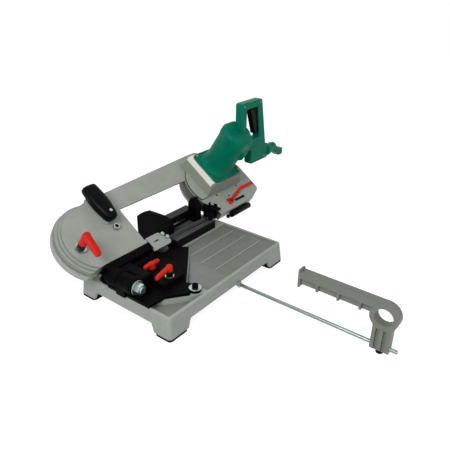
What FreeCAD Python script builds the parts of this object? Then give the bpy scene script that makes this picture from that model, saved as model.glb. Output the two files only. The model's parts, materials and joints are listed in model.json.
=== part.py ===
import FreeCAD, Part
import math
import os
import Sketcher
from FreeCAD import Placement, Rotation, Vector

# Portable metal-cutting band saw on a tray base, in millimetres.
# X runs along the blade from the idler end to the motor end, Y away from the
# operator, Z up. The origin is on the floor, at the middle of the base.
# The bow has a frame of its own: u along X, v across the bow, n out of its face.

SIZES = {
    # Shared allowances
    "overrun": "2",
    "gap": "0.4",
    "fit_clearance": "0.05",
    # Blade, wheels and the bow's frame
    "blade_y": "68",
    "blade_z": "88.5",
    "bow_tilt": "35",
    "blade_width": "13",
    "blade_thickness": "0.65",
    "wheel_radius": "80",
    "wheel_centres": "416",
    "idler_reach": "177",
    "wheel_width": "16",
    "wheel_rim": "9",
    "wheel_web": "6",
    "wheel_hub_radius": "20",
    "shaft_radius": "9",
    "bearing_radius": "16",
    "bearing_width": "7",
    # Base casting and feet
    "base_length": "450",
    "base_width": "300",
    "base_top": "58",
    "base_draft": "5",
    "base_corner": "9",
    "base_edge": "3",
    "base_wall": "6",
    "deck_thickness": "6",
    "rim_width": "8",
    "deck_floor": "55",
    "tray_floor": "46",
    "arch_top": "27",
    "leg_length": "60",
    "leg_width": "48",
    "leg_slant": "10",
    "foot_height": "6",
    "rib_length": "195",
    "rib_width": "3",
    "rib_height": "1.5",
    "boss_radius": "10",
    "bench_hole_radius": "4",
    "bench_hole_depth": "26",
    "bench_hole_inset": "28",
    # Mitre pivot and plateau
    "pivot_reach": "20",
    "pivot_pin_radius": "9",
    "pivot_head_radius": "15",
    "pivot_head_height": "5",
    "plateau_radius": "218",
    "lock_edge": "34.4",
    "lock_angle": "246",
    "lock_slot_width": "9",
    "mitre_range": "45",
    # Vise
    "bed_left": "16",
    "bed_gap": "18",
    "bed_front": "48",
    "bed_depth": "59",
    "bed_top": "81.5",
    "bed_slot_width": "4",
    "bed_slot_depth": "8",
    "bed_slot_start": "62",
    "bed_edge": "2",
    "jaw_left": "17",
    "jaw_thickness": "18",
    "jaw_front": "77",
    "jaw_length": "123",
    "jaw_top": "132",
    "jaw_opening": "94",
    "moving_jaw_top": "152",
    "rail_front": "110",
    "rail_depth": "28",
    "rail_top": "112",
    "rail_length": "117",
    "screw_y": "124",
    "screw_z": "80",
    "screw_radius": "6",
    "screw_length": "136",
    "rail_end": "4",
    "rail_wall": "4",
    "rail_room_bottom": "66",
    "rail_room_top": "100",
    "tongue_bottom": "85",
    "tongue_height": "7",
    "handwheel_radius": "16",
    "handwheel_width": "12",
    "handwheel_hub": "9",
    "crank_knob_radius": "4.5",
    "crank_knob_length": "16",
    # Length stop
    "rod_x": "22.5",
    "rod_z": "26",
    "rod_radius": "4.3",
    "rod_length": "427",
    "rod_tail": "22",
    "rod_nut_radius": "8.5",
    "rod_nut_height": "7",
    "stop_clamp_y": "-518",
    "stop_clamp_radius": "12",
    "stop_clamp_length": "40",
    "stop_bar_top": "134",
    "stop_bar_height": "34",
    "stop_bar_length": "200",
    "stop_bar_width": "22",
    "stop_web": "6",
    "stop_flange": "5",
    "stop_band": "16",
    "stop_ring_radius": "31",
    "stop_ring_hole": "20",
    "stop_leg_width": "40",
    "stop_bolt_radius": "4",
    # Turret
    "turret_foot": "7",
    "turret_body_height": "13",
    "turret_edge": "2",
    "turret_lobe": "14",
    "pivot_disc_radius": "32",
    "lock_bolt_radius": "4",
    "lock_head_radius": "7.5",
    "lock_head_height": "8",
    "lock_washer_radius": "15",
    "lock_washer_height": "2",
    "hinge_inset": "21",
    "hinge_z": "85",
    "hinge_pin_radius": "8",
    "hinge_lug_radius": "21",
    "hinge_knuckle_radius": "22",
    "hinge_front": "-32",
    "hinge_front_knuckle": "20",
    "hinge_lug_length": "28",
    "hinge_rear_knuckle": "26",
    "hinge_flange_radius": "26",
    "hinge_flange": "12",
    "hinge_nut_radius": "13",
    "hinge_nut_height": "14",
    "hinge_washer_radius": "18",
    "hinge_washer_height": "3",
    "stop_screw_radius": "3",
    "stop_screw_spacing": "14",
    "arm_block_gap": "21",
    "arm_block_length": "30",
    "arm_block_bottom": "79",
    "arm_block_height": "21",
    "arm_block_round": "6",
    # Clamp lever and wing knob
    "clamp_reach": "87",
    "clamp_y": "-50",
    "clamp_stud_radius": "5",
    "clamp_washer_radius": "11",
    "clamp_washer_height": "2",
    "clamp_hub_radius": "9",
    "clamp_hub_height": "20",
    "clamp_collar_height": "12",
    "clamp_arm_length": "45",
    "clamp_arm_width": "12",
    "clamp_arm_height": "12",
    "clamp_arm_droop": "11",
    "wing_reach": "86",
    "wing_y": "8",
    "wing_span": "50",
    "wing_width": "13",
    "wing_height": "11",
    "wing_neck": "6",
    "wing_hub_radius": "11",
    "wing_stud_height": "12",
    # Bow casting
    "bow_face": "24.5",
    "bow_back": "3",
    "bow_wall": "5",
    "bow_rim_radius": "100",
    "bow_step_radius": "94",
    "bow_face_radius": "88",
    "bow_step": "13",
    "bow_lower_edge": "8",
    "window_left": "80",
    "window_top": "122",
    "window_round": "7",
    "beam_lip": "5",
    "beam_lip_set": "13",
    "beam_outer": "178",
    "beam_rise": "17",
    "beam_channel": "13",
    "leg_drop": "20",
    "leg_notch_gap": "45",
    "plate_right": "395",
    "plate_corner_u": "345",
    "plate_shoulder_v": "100",
    "plate_round": "16",
    "wheel_room": "2",
    "drum_radius": "81",
    "drum_height": "6",
    "cover_thickness": "1.5",
    "cover_depth": "7",
    "cover_drum_depth": "17",
    "cover_drum_radius": "104",
    "cover_wall": "2",
    "cover_strip": "18",
    # Hinge arm channel along the bow's lower edge
    "channel_left": "215",
    "channel_right": "75",
    "channel_drop": "12",
    "channel_wall": "6",
    "channel_flange": "4",
    "channel_floor": "12",
    # Blade guides
    "guide_plate": "5",
    "left_guide_right": "12",
    "left_guide_reach": "20",
    "left_guide_block": "20",
    "bracket_slot_length": "18",
    "bracket_slot_width": "4",
    "right_guide_reach": "32",
    "right_guide_block": "28",
    "guide_front": "56",
    "guide_depth": "24",
    "guide_bottom": "83.5",
    "guide_throat": "6",
    "guide_pad_length": "12",
    "guide_pad_height": "9",
    "guide_bolt_radius": "5.5",
    "guide_bolt_height": "5",
    "right_plate_width": "22",
    "right_plate_length": "52",
    "tube_radius": "8.5",
    "tube_length": "88",
    "tube_left": "238",
    "tube_drop": "29.5",
    "tube_rise": "9",
    "tube_rod_radius": "3",
    "guide_lever_u": "256",
    "guide_lever_v": "3",
    "guide_lever_width": "9.5",
    "guide_lever_thickness": "3.5",
    "guide_lever_length": "134",
    "guide_lever_boss": "10",
    "guide_pivot_radius": "4",
    "guide_slot_v": "-1",
    "guide_slot_width": "8",
    "plate_hole_radius": "3",
    "plate_hole_depth": "4",
    # Front grip and small parts on the bow's face
    "grip_u": "-132",
    "grip_start": "93",
    "grip_length": "105",
    "grip_width": "50",
    "grip_height": "30",
    "grip_stand": "9",
    "grip_pad_inset": "3",
    "grip_round": "9",
    "grip_bolt_radius": "4",
    "tracking_u": "-125",
    "tracking_v": "80",
    "tracking_radius": "8",
    "tracking_height": "10",
    "tracking_bore": "5",
    # Blade tension
    "tension_u": "-239",
    "tension_v": "70",
    "tension_bush_radius": "14",
    "tension_bush_height": "6",
    "tension_shaft_radius": "5",
    "tension_collar": "15",
    "tension_hub_radius": "10.5",
    "tension_hub_height": "39",
    "tension_arm_length": "52",
    "tension_arm_width": "19",
    "tension_arm_height": "15",
    "tension_arm_droop": "9",
    "carriage_thickness": "8",
    "carriage_width": "44",
    "tension_travel": "4",
    # Gearbox, motor and handle
    "gearbox_left": "189",
    "gearbox_length": "161",
    "gearbox_front": "45",
    "gearbox_depth": "126",
    "gearbox_draft": "6",
    "gearbox_right_draft": "22",
    "gearbox_height": "28",
    "gearbox_wall": "4",
    "spacer_thickness": "12",
    "plate_lip": "6",
    "flange_left": "205",
    "flange_length": "118",
    "flange_front": "53",
    "flange_depth": "108",
    "flange_thickness": "8",
    "flange_corner": "7",
    "flange_screw_radius": "3",
    "flange_screw_inset": "9",
    "motor_v": "106",
    "motor_u": "261",
    "motor_foot_radius": "47",
    "motor_waist_radius": "43.5",
    "motor_radius": "45",
    "motor_length": "120",
    "motor_wall": "4",
    "cap_height": "14",
    "cap_top_radius": "38",
    "gear_radius": "24",
    "gear_width": "12",
    "rotor_shaft_radius": "5",
    "rotor_radius": "23",
    "rotor_length": "50",
    "fan_radius": "33",
    "fan_width": "8",
    "commutator_radius": "12",
    "commutator_length": "16",
    "handle_y": "39",
    "handle_width": "26",
    "handle_left": "266",
    "handle_top": "399",
    "handle_bar": "18",
    "handle_post": "19",
    "handle_foot": "312",
    "grip_inner": "340",
    "grip_outer": "360",
    "grip_lean": "26",
    "handle_arm_top": "290",
    "handle_arm_bottom": "258",
    "handle_block_right": "398",
    "handle_block_left": "312",
    "handle_block_bottom": "216",
    "handle_arm_left": "270",
    "handle_round": "7",
    "handle_edge": "4",
    "handle_screw_radius": "2.5",
    "trigger_width": "16",
    "trigger_bottom": "302",
    "trigger_height": "74",
    "trigger_depth": "5",
    "trigger_proud": "31",
    "trigger_low_proud": "17",
    "trigger_travel": "5",
    "switch_depth": "6",
    "gland_z": "236",
    "gland_radius": "13",
    "gland_ring_radius": "19",
    "gland_ring": "12",
    "gland_length": "48",
    "gland_hook": "20",
}

# Places that follow the size of the piece that carries them
RIB_SHARES = (0.0, -0.15, -0.31)
PLATEAU_SHARES = ((0.78, 2.0), (0.78, 0.28), (0.2, 0.28), (0.17, 0.15), (-0.42, -0.56), (-0.37, -0.72),
                  (-0.37, -2.0))
PLATE_HOLE_SHARES = ((0.58, 0.39), (0.82, 0.39), (0.68, 0.21))
GRIP_END_SHARES = (0.6, 0.85)
FIXED_JAW_SHARES = ((0.0, 0.66), (0.08, 0.9), (0.25, 1.0), (0.72, 0.96), (0.88, 0.78), (1.0, 0.52))
MOVING_JAW_SHARES = ((0.0, 0.7), (0.1, 1.0), (0.18, 1.0), (0.26, 0.8))
TURRET_PLAN_SHARES = ((0.155, 0.17), (-0.43, -0.55), (-0.40, -0.70), (-0.56, -0.79), (-0.76, -0.57),
                      (-0.975, -0.55), (-0.975, 0.34), (-0.82, 0.38), (-0.62, 0.72))
TURRET_BODY_SHARES = ((-0.68, -0.45), (-0.38, -0.45), (-0.25, -0.18), (-0.25, 0.26), (-0.68, 0.26))
BOW_SHOULDER_SHARES = ((0.35, 1.1), (-0.3, 0.95))
GUIDE_LEVER_BEND_SHARES = (0.55, 0.16)
STOP_RIBS = 3

doc = FreeCAD.newDocument("BandSaw")
sheet = doc.addObject("Spreadsheet::Sheet", "Sizes")
for row, (alias, text) in enumerate(SIZES.items(), start=1):
    sheet.set(f"A{row}", alias)
    sheet.set(f"B{row}", text)
    sheet.setAlias(f"B{row}", alias)
doc.recompute()


class Size:
    """A length or an angle: its number, and the formula on the sheet that gives it."""

    def __init__(self, number, formula):
        self.number = float(number)
        self.formula = formula

    def __add__(self, other):
        return Size(self.number + number_of(other), f"({self.formula} + {formula_of(other)})")

    def __radd__(self, other):
        return Size(number_of(other) + self.number, f"({formula_of(other)} + {self.formula})")

    def __sub__(self, other):
        return Size(self.number - number_of(other), f"({self.formula} - {formula_of(other)})")

    def __rsub__(self, other):
        return Size(number_of(other) - self.number, f"({formula_of(other)} - {self.formula})")

    def __mul__(self, other):
        return Size(self.number * number_of(other), f"({self.formula} * {formula_of(other)})")

    __rmul__ = __mul__

    def __truediv__(self, other):
        return Size(self.number / number_of(other), f"({self.formula} / {formula_of(other)})")

    def __neg__(self):
        return Size(-self.number, f"(-1 * {self.formula})")


def number_of(value):
    return value.number if isinstance(value, Size) else float(value)


def formula_of(value):
    return value.formula if isinstance(value, Size) else repr(float(value))


def sine(angle):
    return Size(math.sin(math.radians(angle.number)), f"sin({angle.formula})")


def cosine(angle):
    return Size(math.cos(math.radians(angle.number)), f"cos({angle.formula})")


def tangent(angle):
    return Size(math.tan(math.radians(angle.number)), f"tan({angle.formula})")


def root(value):
    return Size(math.sqrt(value.number), f"sqrt({value.formula})")


class Sheet:
    """The driving dimensions by name."""

    def __getattr__(self, alias):
        return Size(getattr(sheet, alias), f"Sizes.{alias}")


d = Sheet()
nodes = []


# Building blocks

def bind(obj, prop, size):
    if isinstance(size, Size):
        obj.setExpression(prop, size.formula)


TURNS = {
    "Z": Rotation(),
    "-Z": Rotation(Vector(1, 0, 0), 180),
    "X": Rotation(Vector(0, 1, 0), 90),
    "Y": Rotation(Vector(1, 0, 0), -90),
    "-Y": Rotation(Vector(1, 0, 0), 90),
}


def seat(obj, at, turn=None):
    """Places an object by its three coordinates, turned if a rotation is given."""
    obj.Placement = Placement(Vector(*[number_of(c) for c in at]), turn or Rotation())
    for name, coordinate in zip("xyz", at):
        bind(obj, f"Placement.Base.{name}", coordinate)
    return obj


def box(low, size):
    block = doc.addObject("Part::Box", "block")
    for prop, length in zip(("Length", "Width", "Height"), size):
        bind(block, prop, length)
    return seat(block, low)


def rod(axis, start, radius, length):
    bar = doc.addObject("Part::Cylinder", "rod")
    bind(bar, "Radius", radius)
    bind(bar, "Height", length)
    return seat(bar, start, TURNS[axis])


def cut(base, *tools):
    for tool in tools:
        result = doc.addObject("Part::Cut", "cut")
        result.Base = base
        result.Tool = tool
        base = result
    return base


def fuse(*pieces):
    result = doc.addObject("Part::MultiFuse", "joined")
    result.Shapes = list(pieces)
    return result


def common(first, second):
    result = doc.addObject("Part::Common", "shared")
    result.Base = first
    result.Tool = second
    return result


def group(*pieces):
    result = doc.addObject("Part::Compound", "set")
    result.Links = list(pieces)
    return result


def ring(axis, start, outer, inner, length):
    hole = rod(axis, start, inner, length)
    return cut(rod(axis, start, outer, length), hole)


def origin_plane(body, role):
    return next(plane for plane in body.Origin.OriginFeatures if plane.Role == role)


def draw(sketch, points):
    """Closed outline through the given points, each held by its two coordinates."""
    corners = [Vector(number_of(x), number_of(y), 0) for x, y in points]
    count = len(corners)
    for index, corner in enumerate(corners):
        sketch.addGeometry(Part.LineSegment(corner, corners[(index + 1) % count]), False)
    for index in range(count):
        sketch.addConstraint(Sketcher.Constraint("Coincident", index, 2, (index + 1) % count, 1))
    for index, point in enumerate(points):
        for letter, value in zip("XY", point):
            rule = Sketcher.Constraint("Distance" + letter, -1, 1, index, 1, number_of(value))
            place = sketch.addConstraint(rule)
            sketch.renameConstraint(place, f"{letter.lower()}{index}")
            bind(sketch, f"Constraints.{letter.lower()}{index}", value)


def sketch_on(body, plane, points):
    sketch = body.newObject("Sketcher::SketchObject", "outline")
    sketch.AttachmentSupport = [(origin_plane(body, plane + "_Plane"), "")]
    sketch.MapMode = "FlatFace"
    draw(sketch, points)
    return sketch


def prism(plane, points, start, depth, rounds=()):
    """A solid with a straight-sided outline; rounds lists (corner numbers, radius)."""
    body = doc.addObject("PartDesign::Body", "prism")
    sketch = sketch_on(body, plane, points)
    bind(sketch, "AttachmentOffset.Base.z", -(start + depth) if plane == "XZ" else start)
    pad = body.newObject("PartDesign::Pad", "pad")
    pad.Profile = sketch
    bind(pad, "Length", depth)
    doc.recompute()
    for corners, radius in rounds:
        spots = [[number_of(value) for value in points[corner]] for corner in corners]
        round_edges(body, lambda edge: edge_spot(edge, plane, spots), radius)
    return body


def edge_spot(edge, plane, spots):
    """True for an edge that runs square to the outline through one of its corners."""
    pick = {"XY": (0, 1), "XZ": (0, 2), "YZ": (1, 2)}[plane]
    ends = [[vertex.Point[axis] for axis in pick] for vertex in edge.Vertexes]
    if len(ends) < 2:
        return False
    return any(all(math.dist(end, spot) < d.fit_clearance.number for end in ends) for spot in spots)


def round_edges(body, chosen, radius):
    names = [f"Edge{index}" for index, edge in enumerate(body.Tip.Shape.Edges, start=1) if chosen(edge)]
    fillet = body.newObject("PartDesign::Fillet", "rounding")
    fillet.Base = (fillet.getPropertyByName("BaseFeature") or body.Tip, names)
    bind(fillet, "Radius", radius)
    doc.recompute()
    return body


def soften(obj, chosen, radius):
    """Rounds the chosen edges of any object."""
    doc.recompute()
    result = doc.addObject("Part::Fillet", "softened")
    result.Base = obj
    edges = enumerate(obj.Shape.Edges, start=1)
    result.Edges = [(index, radius.number, radius.number) for index, edge in edges if chosen(edge)]
    return result


def upright(edge):
    return abs(edge.tangentAt(edge.FirstParameter).z) > math.sqrt(0.5)


def turned(profile):
    """A solid of revolution about Z from (radius, height) points."""
    body = doc.addObject("PartDesign::Body", "turned")
    sketch = sketch_on(body, "XZ", profile)
    turning = body.newObject("PartDesign::Revolution", "turning")
    turning.Profile = sketch
    turning.ReferenceAxis = (sketch, ["V_Axis"])
    turning.Angle = 360
    return body


def wedge(low, size, inset_low, inset_high):
    """A block whose top is drawn in: by inset_low at its low sides, inset_high at its high sides."""
    block = doc.addObject("Part::Wedge", "wedge")
    length, width, height = size
    block.Xmin, block.Ymin, block.Zmin = 0, 0, 0
    bind(block, "Xmax", length)
    bind(block, "Zmax", width)
    bind(block, "Ymax", height)
    bind(block, "X2min", inset_low[0])
    bind(block, "X2max", length - inset_high[0])
    bind(block, "Z2min", inset_high[1])
    bind(block, "Z2max", width - inset_low[1])
    return seat(block, (low[0], low[1] + width, low[2]), TURNS["-Y"])


def hexagon(axis, start, radius, height):
    nut = doc.addObject("Part::Prism", "hexagon")
    nut.Polygon = 6
    bind(nut, "Circumradius", radius)
    bind(nut, "Height", height)
    return seat(nut, start, TURNS[axis])


def on_bow(obj):
    """Turns an object drawn in the bow's frame into its place on the saw."""
    obj.Placement = Placement(Vector(), Rotation(Vector(1, 0, 0), d.bow_tilt.number))
    bind(obj, "Placement.Base.y", d.blade_y)
    bind(obj, "Placement.Base.z", d.blade_z)
    bind(obj, "Placement.Rotation.Angle", d.bow_tilt)
    return obj


def node(name, obj, bow=False):
    if obj.TypeId in ("Part::Box", "Part::Cylinder", "Part::Prism", "Part::Wedge"):
        obj = group(obj)
    if bow:
        on_bow(obj)
    obj.Label = name
    nodes.append(obj)
    return obj


zero = d.gap * 0
pivot = (-d.pivot_reach, d.blade_y)
drive_u = d.wheel_centres - d.idler_reach
idler_u = -d.idler_reach
half_blade = d.blade_width / 2
foot_z = d.base_top + d.gap
foot_top = foot_z + d.turret_foot
body_top = foot_top + d.turret_body_height
back_n = -d.bow_back
hinge_x = -d.base_length / 2 + d.hinge_inset
block_left = hinge_x + d.arm_block_gap
clamp_x = hinge_x + d.clamp_reach
wing_x = hinge_x + d.wing_reach
leg_notch_u = d.jaw_left + d.jaw_thickness * 2 + d.jaw_opening + d.leg_notch_gap
right_guide_left = leg_notch_u - d.right_guide_reach
bed_length = leg_notch_u - d.bed_gap - d.bed_left


# Base

def base_casting():
    low = (-d.base_length / 2, -d.base_width / 2, d.foot_height)
    size = (d.base_length, d.base_width, d.base_top - d.foot_height)
    draft = (d.base_draft, d.base_draft)
    outer = wedge(low, size, draft, draft)
    sides = soften(outer, upright, d.base_corner)
    doc.recompute()
    top = d.base_top.number
    body = soften(sides, lambda edge: edge.BoundBox.ZMin > top - d.fit_clearance.number, d.base_edge)
    wall = d.base_wall
    inner_top = d.tray_floor - d.deck_thickness
    hollow_low = (low[0] + wall, low[1] + wall, d.foot_height - d.overrun)
    hollow_size = (size[0] - wall * 2, size[1] - wall * 2, inner_top - d.foot_height + d.overrun)
    hollow = wedge(hollow_low, hollow_size, draft, draft)
    corner_x = d.base_length / 2 - d.leg_length
    corner_y = d.base_width / 2 - d.leg_width
    under = d.foot_height - d.overrun
    slope_x = ((-corner_x, under), (corner_x, under), (corner_x - d.leg_slant, d.arch_top),
               (-corner_x + d.leg_slant, d.arch_top))
    slope_y = ((-corner_y, under), (corner_y, under), (corner_y - d.leg_slant, d.arch_top),
               (-corner_y + d.leg_slant, d.arch_top))
    arch_x = prism("XZ", slope_x, -d.base_width, d.base_width * 2)
    arch_y = prism("YZ", slope_y, -d.base_length, d.base_length * 2)
    shell = cut(body, hollow, arch_x, arch_y, tray())
    bosses = [rod("Z", (x, y, d.foot_height), d.boss_radius, inner_top + d.overrun - d.foot_height)
              for x, y in bench_spots()]
    holes = [rod("Z", (x, y, d.foot_height - d.overrun), d.bench_hole_radius,
                 d.bench_hole_depth - d.foot_height + d.overrun) for x, y in bench_spots()]
    rod_hole = rod("Y", (d.rod_x, -d.base_width / 2 - d.overrun, d.rod_z), d.rod_radius + d.fit_clearance,
                   d.rod_tail * 2)
    pin_hole = rod("Z", (pivot[0], pivot[1], zero), d.pivot_pin_radius + d.fit_clearance,
                   d.base_top + d.overrun)
    casting = fuse(shell, *bosses, *ribs())
    return node("base_casting", cut(casting, *holes, rod_hole, pin_hole, lock_slot()))


def bench_spots():
    x = d.base_length / 2 - d.bench_hole_inset
    y = d.base_width / 2 - d.bench_hole_inset
    return [(sx * x, sy * y) for sx in (-1, 1) for sy in (-1, 1)]


def lock_radius():
    """Reach of the mitre lock bolt, so that it stands clear of the base's front edge."""
    return (d.blade_y + d.base_width / 2 - d.lock_edge) / -sine(d.lock_angle)


def plateau():
    """The raised sector that the turret sweeps over."""
    disc = rod("Z", (pivot[0], pivot[1], zero), d.plateau_radius, d.base_top * 2)
    edge = [(x * d.base_length / 2, y * d.base_width / 2) for x, y in PLATEAU_SHARES]
    edge += [(-d.base_length, -d.base_width), (-d.base_length, d.base_width)]
    return common(disc, prism("XY", edge, -d.base_top, d.base_top * 4))


def tray():
    """The sunk deck in front of the vise, deepest at its front left corner."""
    reach = d.base_length / 2 - d.base_draft - d.rim_width
    profile = ((-reach, d.tray_floor), (-reach / 3, d.tray_floor), (zero, d.deck_floor),
               (reach, d.deck_floor), (reach, d.base_top + d.overrun), (-reach, d.base_top + d.overrun))
    front = d.base_width / 2 - d.base_draft - d.rim_width
    depth = front + d.bed_front - d.rim_width / 2
    return cut(prism("XZ", profile, -front, depth), plateau())


def ribs():
    right = d.base_length / 2 - d.base_draft - d.rim_width * 3
    floor = d.deck_floor - d.rib_height
    return [box((right - d.rib_length, share * d.base_width - d.rib_width / 2, floor),
                (d.rib_length, d.rib_width, d.rib_height * 2)) for share in RIB_SHARES]


def lock_slot():
    """Curved slot for the mitre lock bolt, about the pivot."""
    start = (pivot[0], pivot[1], zero)
    half = d.lock_slot_width / 2
    band = ring("Z", start, lock_radius() + half, lock_radius() - half, d.base_top + d.overrun)
    reach = lock_radius() * 2
    first = d.lock_angle
    last = d.lock_angle - d.mitre_range
    middle = (first + last) / 2
    corners = [pivot] + [(pivot[0] + reach * cosine(angle), pivot[1] + reach * sine(angle))
                         for angle in (last, middle, first)]
    sector = prism("XY", corners, -d.overrun, d.base_top * 2)
    ends = [rod("Z", (pivot[0] + lock_radius() * cosine(angle), pivot[1] + lock_radius() * sine(angle), zero),
                half, d.base_top + d.overrun) for angle in (first, last)]
    return fuse(common(band, sector), *ends)


def rubber_feet():
    pads = []
    for sx, sy in ((-1, -1), (-1, 1), (1, -1), (1, 1)):
        x = -d.base_length / 2 if sx < 0 else d.base_length / 2 - d.leg_length
        y = -d.base_width / 2 if sy < 0 else d.base_width / 2 - d.leg_width
        pad = soften(box((x, y, zero), (d.leg_length, d.leg_width, d.foot_height)), upright, d.base_corner)
        spot = (sx * (d.base_length / 2 - d.bench_hole_inset), sy * (d.base_width / 2 - d.bench_hole_inset))
        pads.append(cut(pad, rod("Z", (spot[0], spot[1], -d.overrun), d.bench_hole_radius,
                                 d.foot_height + d.overrun * 2)))
    return node("rubber_feet", group(*pads))


def swivel_pin():
    low = d.tray_floor - d.deck_thickness
    head = foot_top + d.gap
    shank = rod("Z", (pivot[0], pivot[1], low), d.pivot_pin_radius, head - low)
    return node("swivel_pin", fuse(shank, rod("Z", (pivot[0], pivot[1], head), d.pivot_head_radius,
                                              d.pivot_head_height)))


# Vise

def vise_bed():
    block = box((d.bed_left, d.bed_front, d.base_top), (bed_length, d.bed_depth, d.bed_top - d.base_top))
    top = d.bed_top.number
    block = soften(block, lambda edge: edge.BoundBox.ZMin > top - d.fit_clearance.number, d.bed_edge)
    slot = box((d.bed_left + d.bed_slot_start, d.blade_y - d.bed_slot_width / 2, d.bed_top - d.bed_slot_depth),
               (bed_length - d.bed_slot_start + d.overrun, d.bed_slot_width, d.bed_slot_depth + d.overrun))
    return node("vise_bed", cut(block, slot))


def fixed_jaw():
    height = d.jaw_top - d.bed_top
    back = d.bed_front + d.bed_depth
    under = d.base_width / 2 + d.rim_width
    low = d.base_top - d.jaw_thickness
    profile = [(d.jaw_front, d.bed_top)]
    profile += [(d.jaw_front + y * d.jaw_length, d.bed_top + z * height) for y, z in FIXED_JAW_SHARES]
    profile += [(d.jaw_front + d.jaw_length, low), (under, low), (under, d.base_top), (back, d.base_top),
                (back, d.bed_top)]
    rounds = (((3, 4, 5, 6, 7), d.bed_edge * 2),)
    return node("fixed_jaw", prism("YZ", profile, d.jaw_left, d.jaw_thickness, rounds))


def moving_jaw():
    """Plate on the bed with a tongue into the rail, and the screw's nut behind it."""
    left = d.jaw_left + d.jaw_thickness + d.jaw_opening
    height = d.moving_jaw_top - d.bed_top
    front = d.rail_front - d.gap
    nut_front = d.rail_front + d.rail_wall + d.gap
    nut_back = d.rail_front + d.rail_depth - d.rail_wall - d.gap
    nut_low = d.rail_room_bottom + d.gap
    nut_top = d.rail_room_top - d.gap
    tongue_top = d.tongue_bottom + d.tongue_height
    profile = [(d.jaw_front, d.bed_top + d.gap)]
    profile += [(d.jaw_front + y * d.jaw_length, d.bed_top + z * height) for y, z in MOVING_JAW_SHARES]
    profile += [(front, d.rail_top), (front, tongue_top), (nut_front, tongue_top), (nut_front, nut_top),
                (nut_back, nut_top), (nut_back, nut_low), (nut_front, nut_low), (nut_front, d.tongue_bottom),
                (front, d.tongue_bottom), (front, d.bed_top + d.gap)]
    plate = prism("YZ", profile, left, d.jaw_thickness, (((2, 3), d.bed_edge * 2),))
    bore = rod("X", (left - d.overrun, d.screw_y, d.screw_z), d.screw_radius + d.fit_clearance,
               d.jaw_thickness + d.overrun * 2)
    return node("moving_jaw", cut(plate, bore))


def vise_rail():
    """Box rail behind the bed, with a slot for the jaw's tongue and the screw's bearing in its end."""
    left = d.jaw_left + d.jaw_thickness
    rail = box((left, d.rail_front, d.base_top), (d.rail_length, d.rail_depth, d.rail_top - d.base_top))
    inside = d.rail_length - d.rail_end
    room = box((left - d.overrun, d.rail_front + d.rail_wall, d.rail_room_bottom),
               (inside + d.overrun, d.rail_depth - d.rail_wall * 2, d.rail_room_top - d.rail_room_bottom))
    slot = box((left - d.overrun, d.rail_front - d.overrun, d.tongue_bottom - d.gap),
               (inside + d.overrun, d.rail_wall + d.overrun * 2, d.tongue_height + d.gap * 2))
    bore = rod("X", (left, d.screw_y, d.screw_z), d.screw_radius + d.fit_clearance, d.rail_length + d.overrun)
    return node("vise_rail", cut(rail, room, slot, bore))


def vise_screw():
    left = d.jaw_left + d.jaw_thickness + d.gap * 2
    return node("vise_screw", rod("X", (left, d.screw_y, d.screw_z), d.screw_radius, d.screw_length))


def vise_handwheel():
    start = d.jaw_left + d.jaw_thickness + d.rail_length + d.gap
    middle = d.handwheel_width
    rim = d.handwheel_radius
    bore = d.screw_radius + d.fit_clearance
    hub = d.handwheel_hub
    profile = ((bore, zero), (hub, zero), (hub, middle / 3), (rim, middle / 3), (rim, middle),
               (rim - middle / 4, middle), (hub, middle * 2 / 3), (hub, middle), (bore, middle))
    wheel = seat(turned(profile), (start, d.screw_y, d.screw_z), TURNS["X"])
    knob = rod("X", (start + middle, d.screw_y + rim - d.crank_knob_radius, d.screw_z), d.crank_knob_radius,
               d.crank_knob_length)
    return node("vise_handwheel", fuse(wheel, knob))


# Length stop

def stop_rod():
    tail = -d.base_width / 2 + d.rod_tail
    return node("stop_rod", rod("-Y", (d.rod_x, tail, d.rod_z), d.rod_radius, d.rod_length))


def stop_rod_nuts():
    slope = d.base_draft * (d.rod_z - d.foot_height) / (d.base_top - d.foot_height)
    front = -d.base_width / 2 + slope - d.gap
    inside = -d.base_width / 2 + d.base_wall + d.base_draft + d.gap
    nuts = []
    for place, axis in ((front, "-Y"), (inside, "Y")):
        nut = hexagon(axis, (d.rod_x, place, d.rod_z), d.rod_nut_radius, d.rod_nut_height)
        hole = rod(axis, (d.rod_x, place, d.rod_z), d.rod_radius + d.fit_clearance, d.rod_nut_height)
        nuts.append(cut(nut, hole))
    return node("stop_rod_nuts", group(*nuts))


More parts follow.
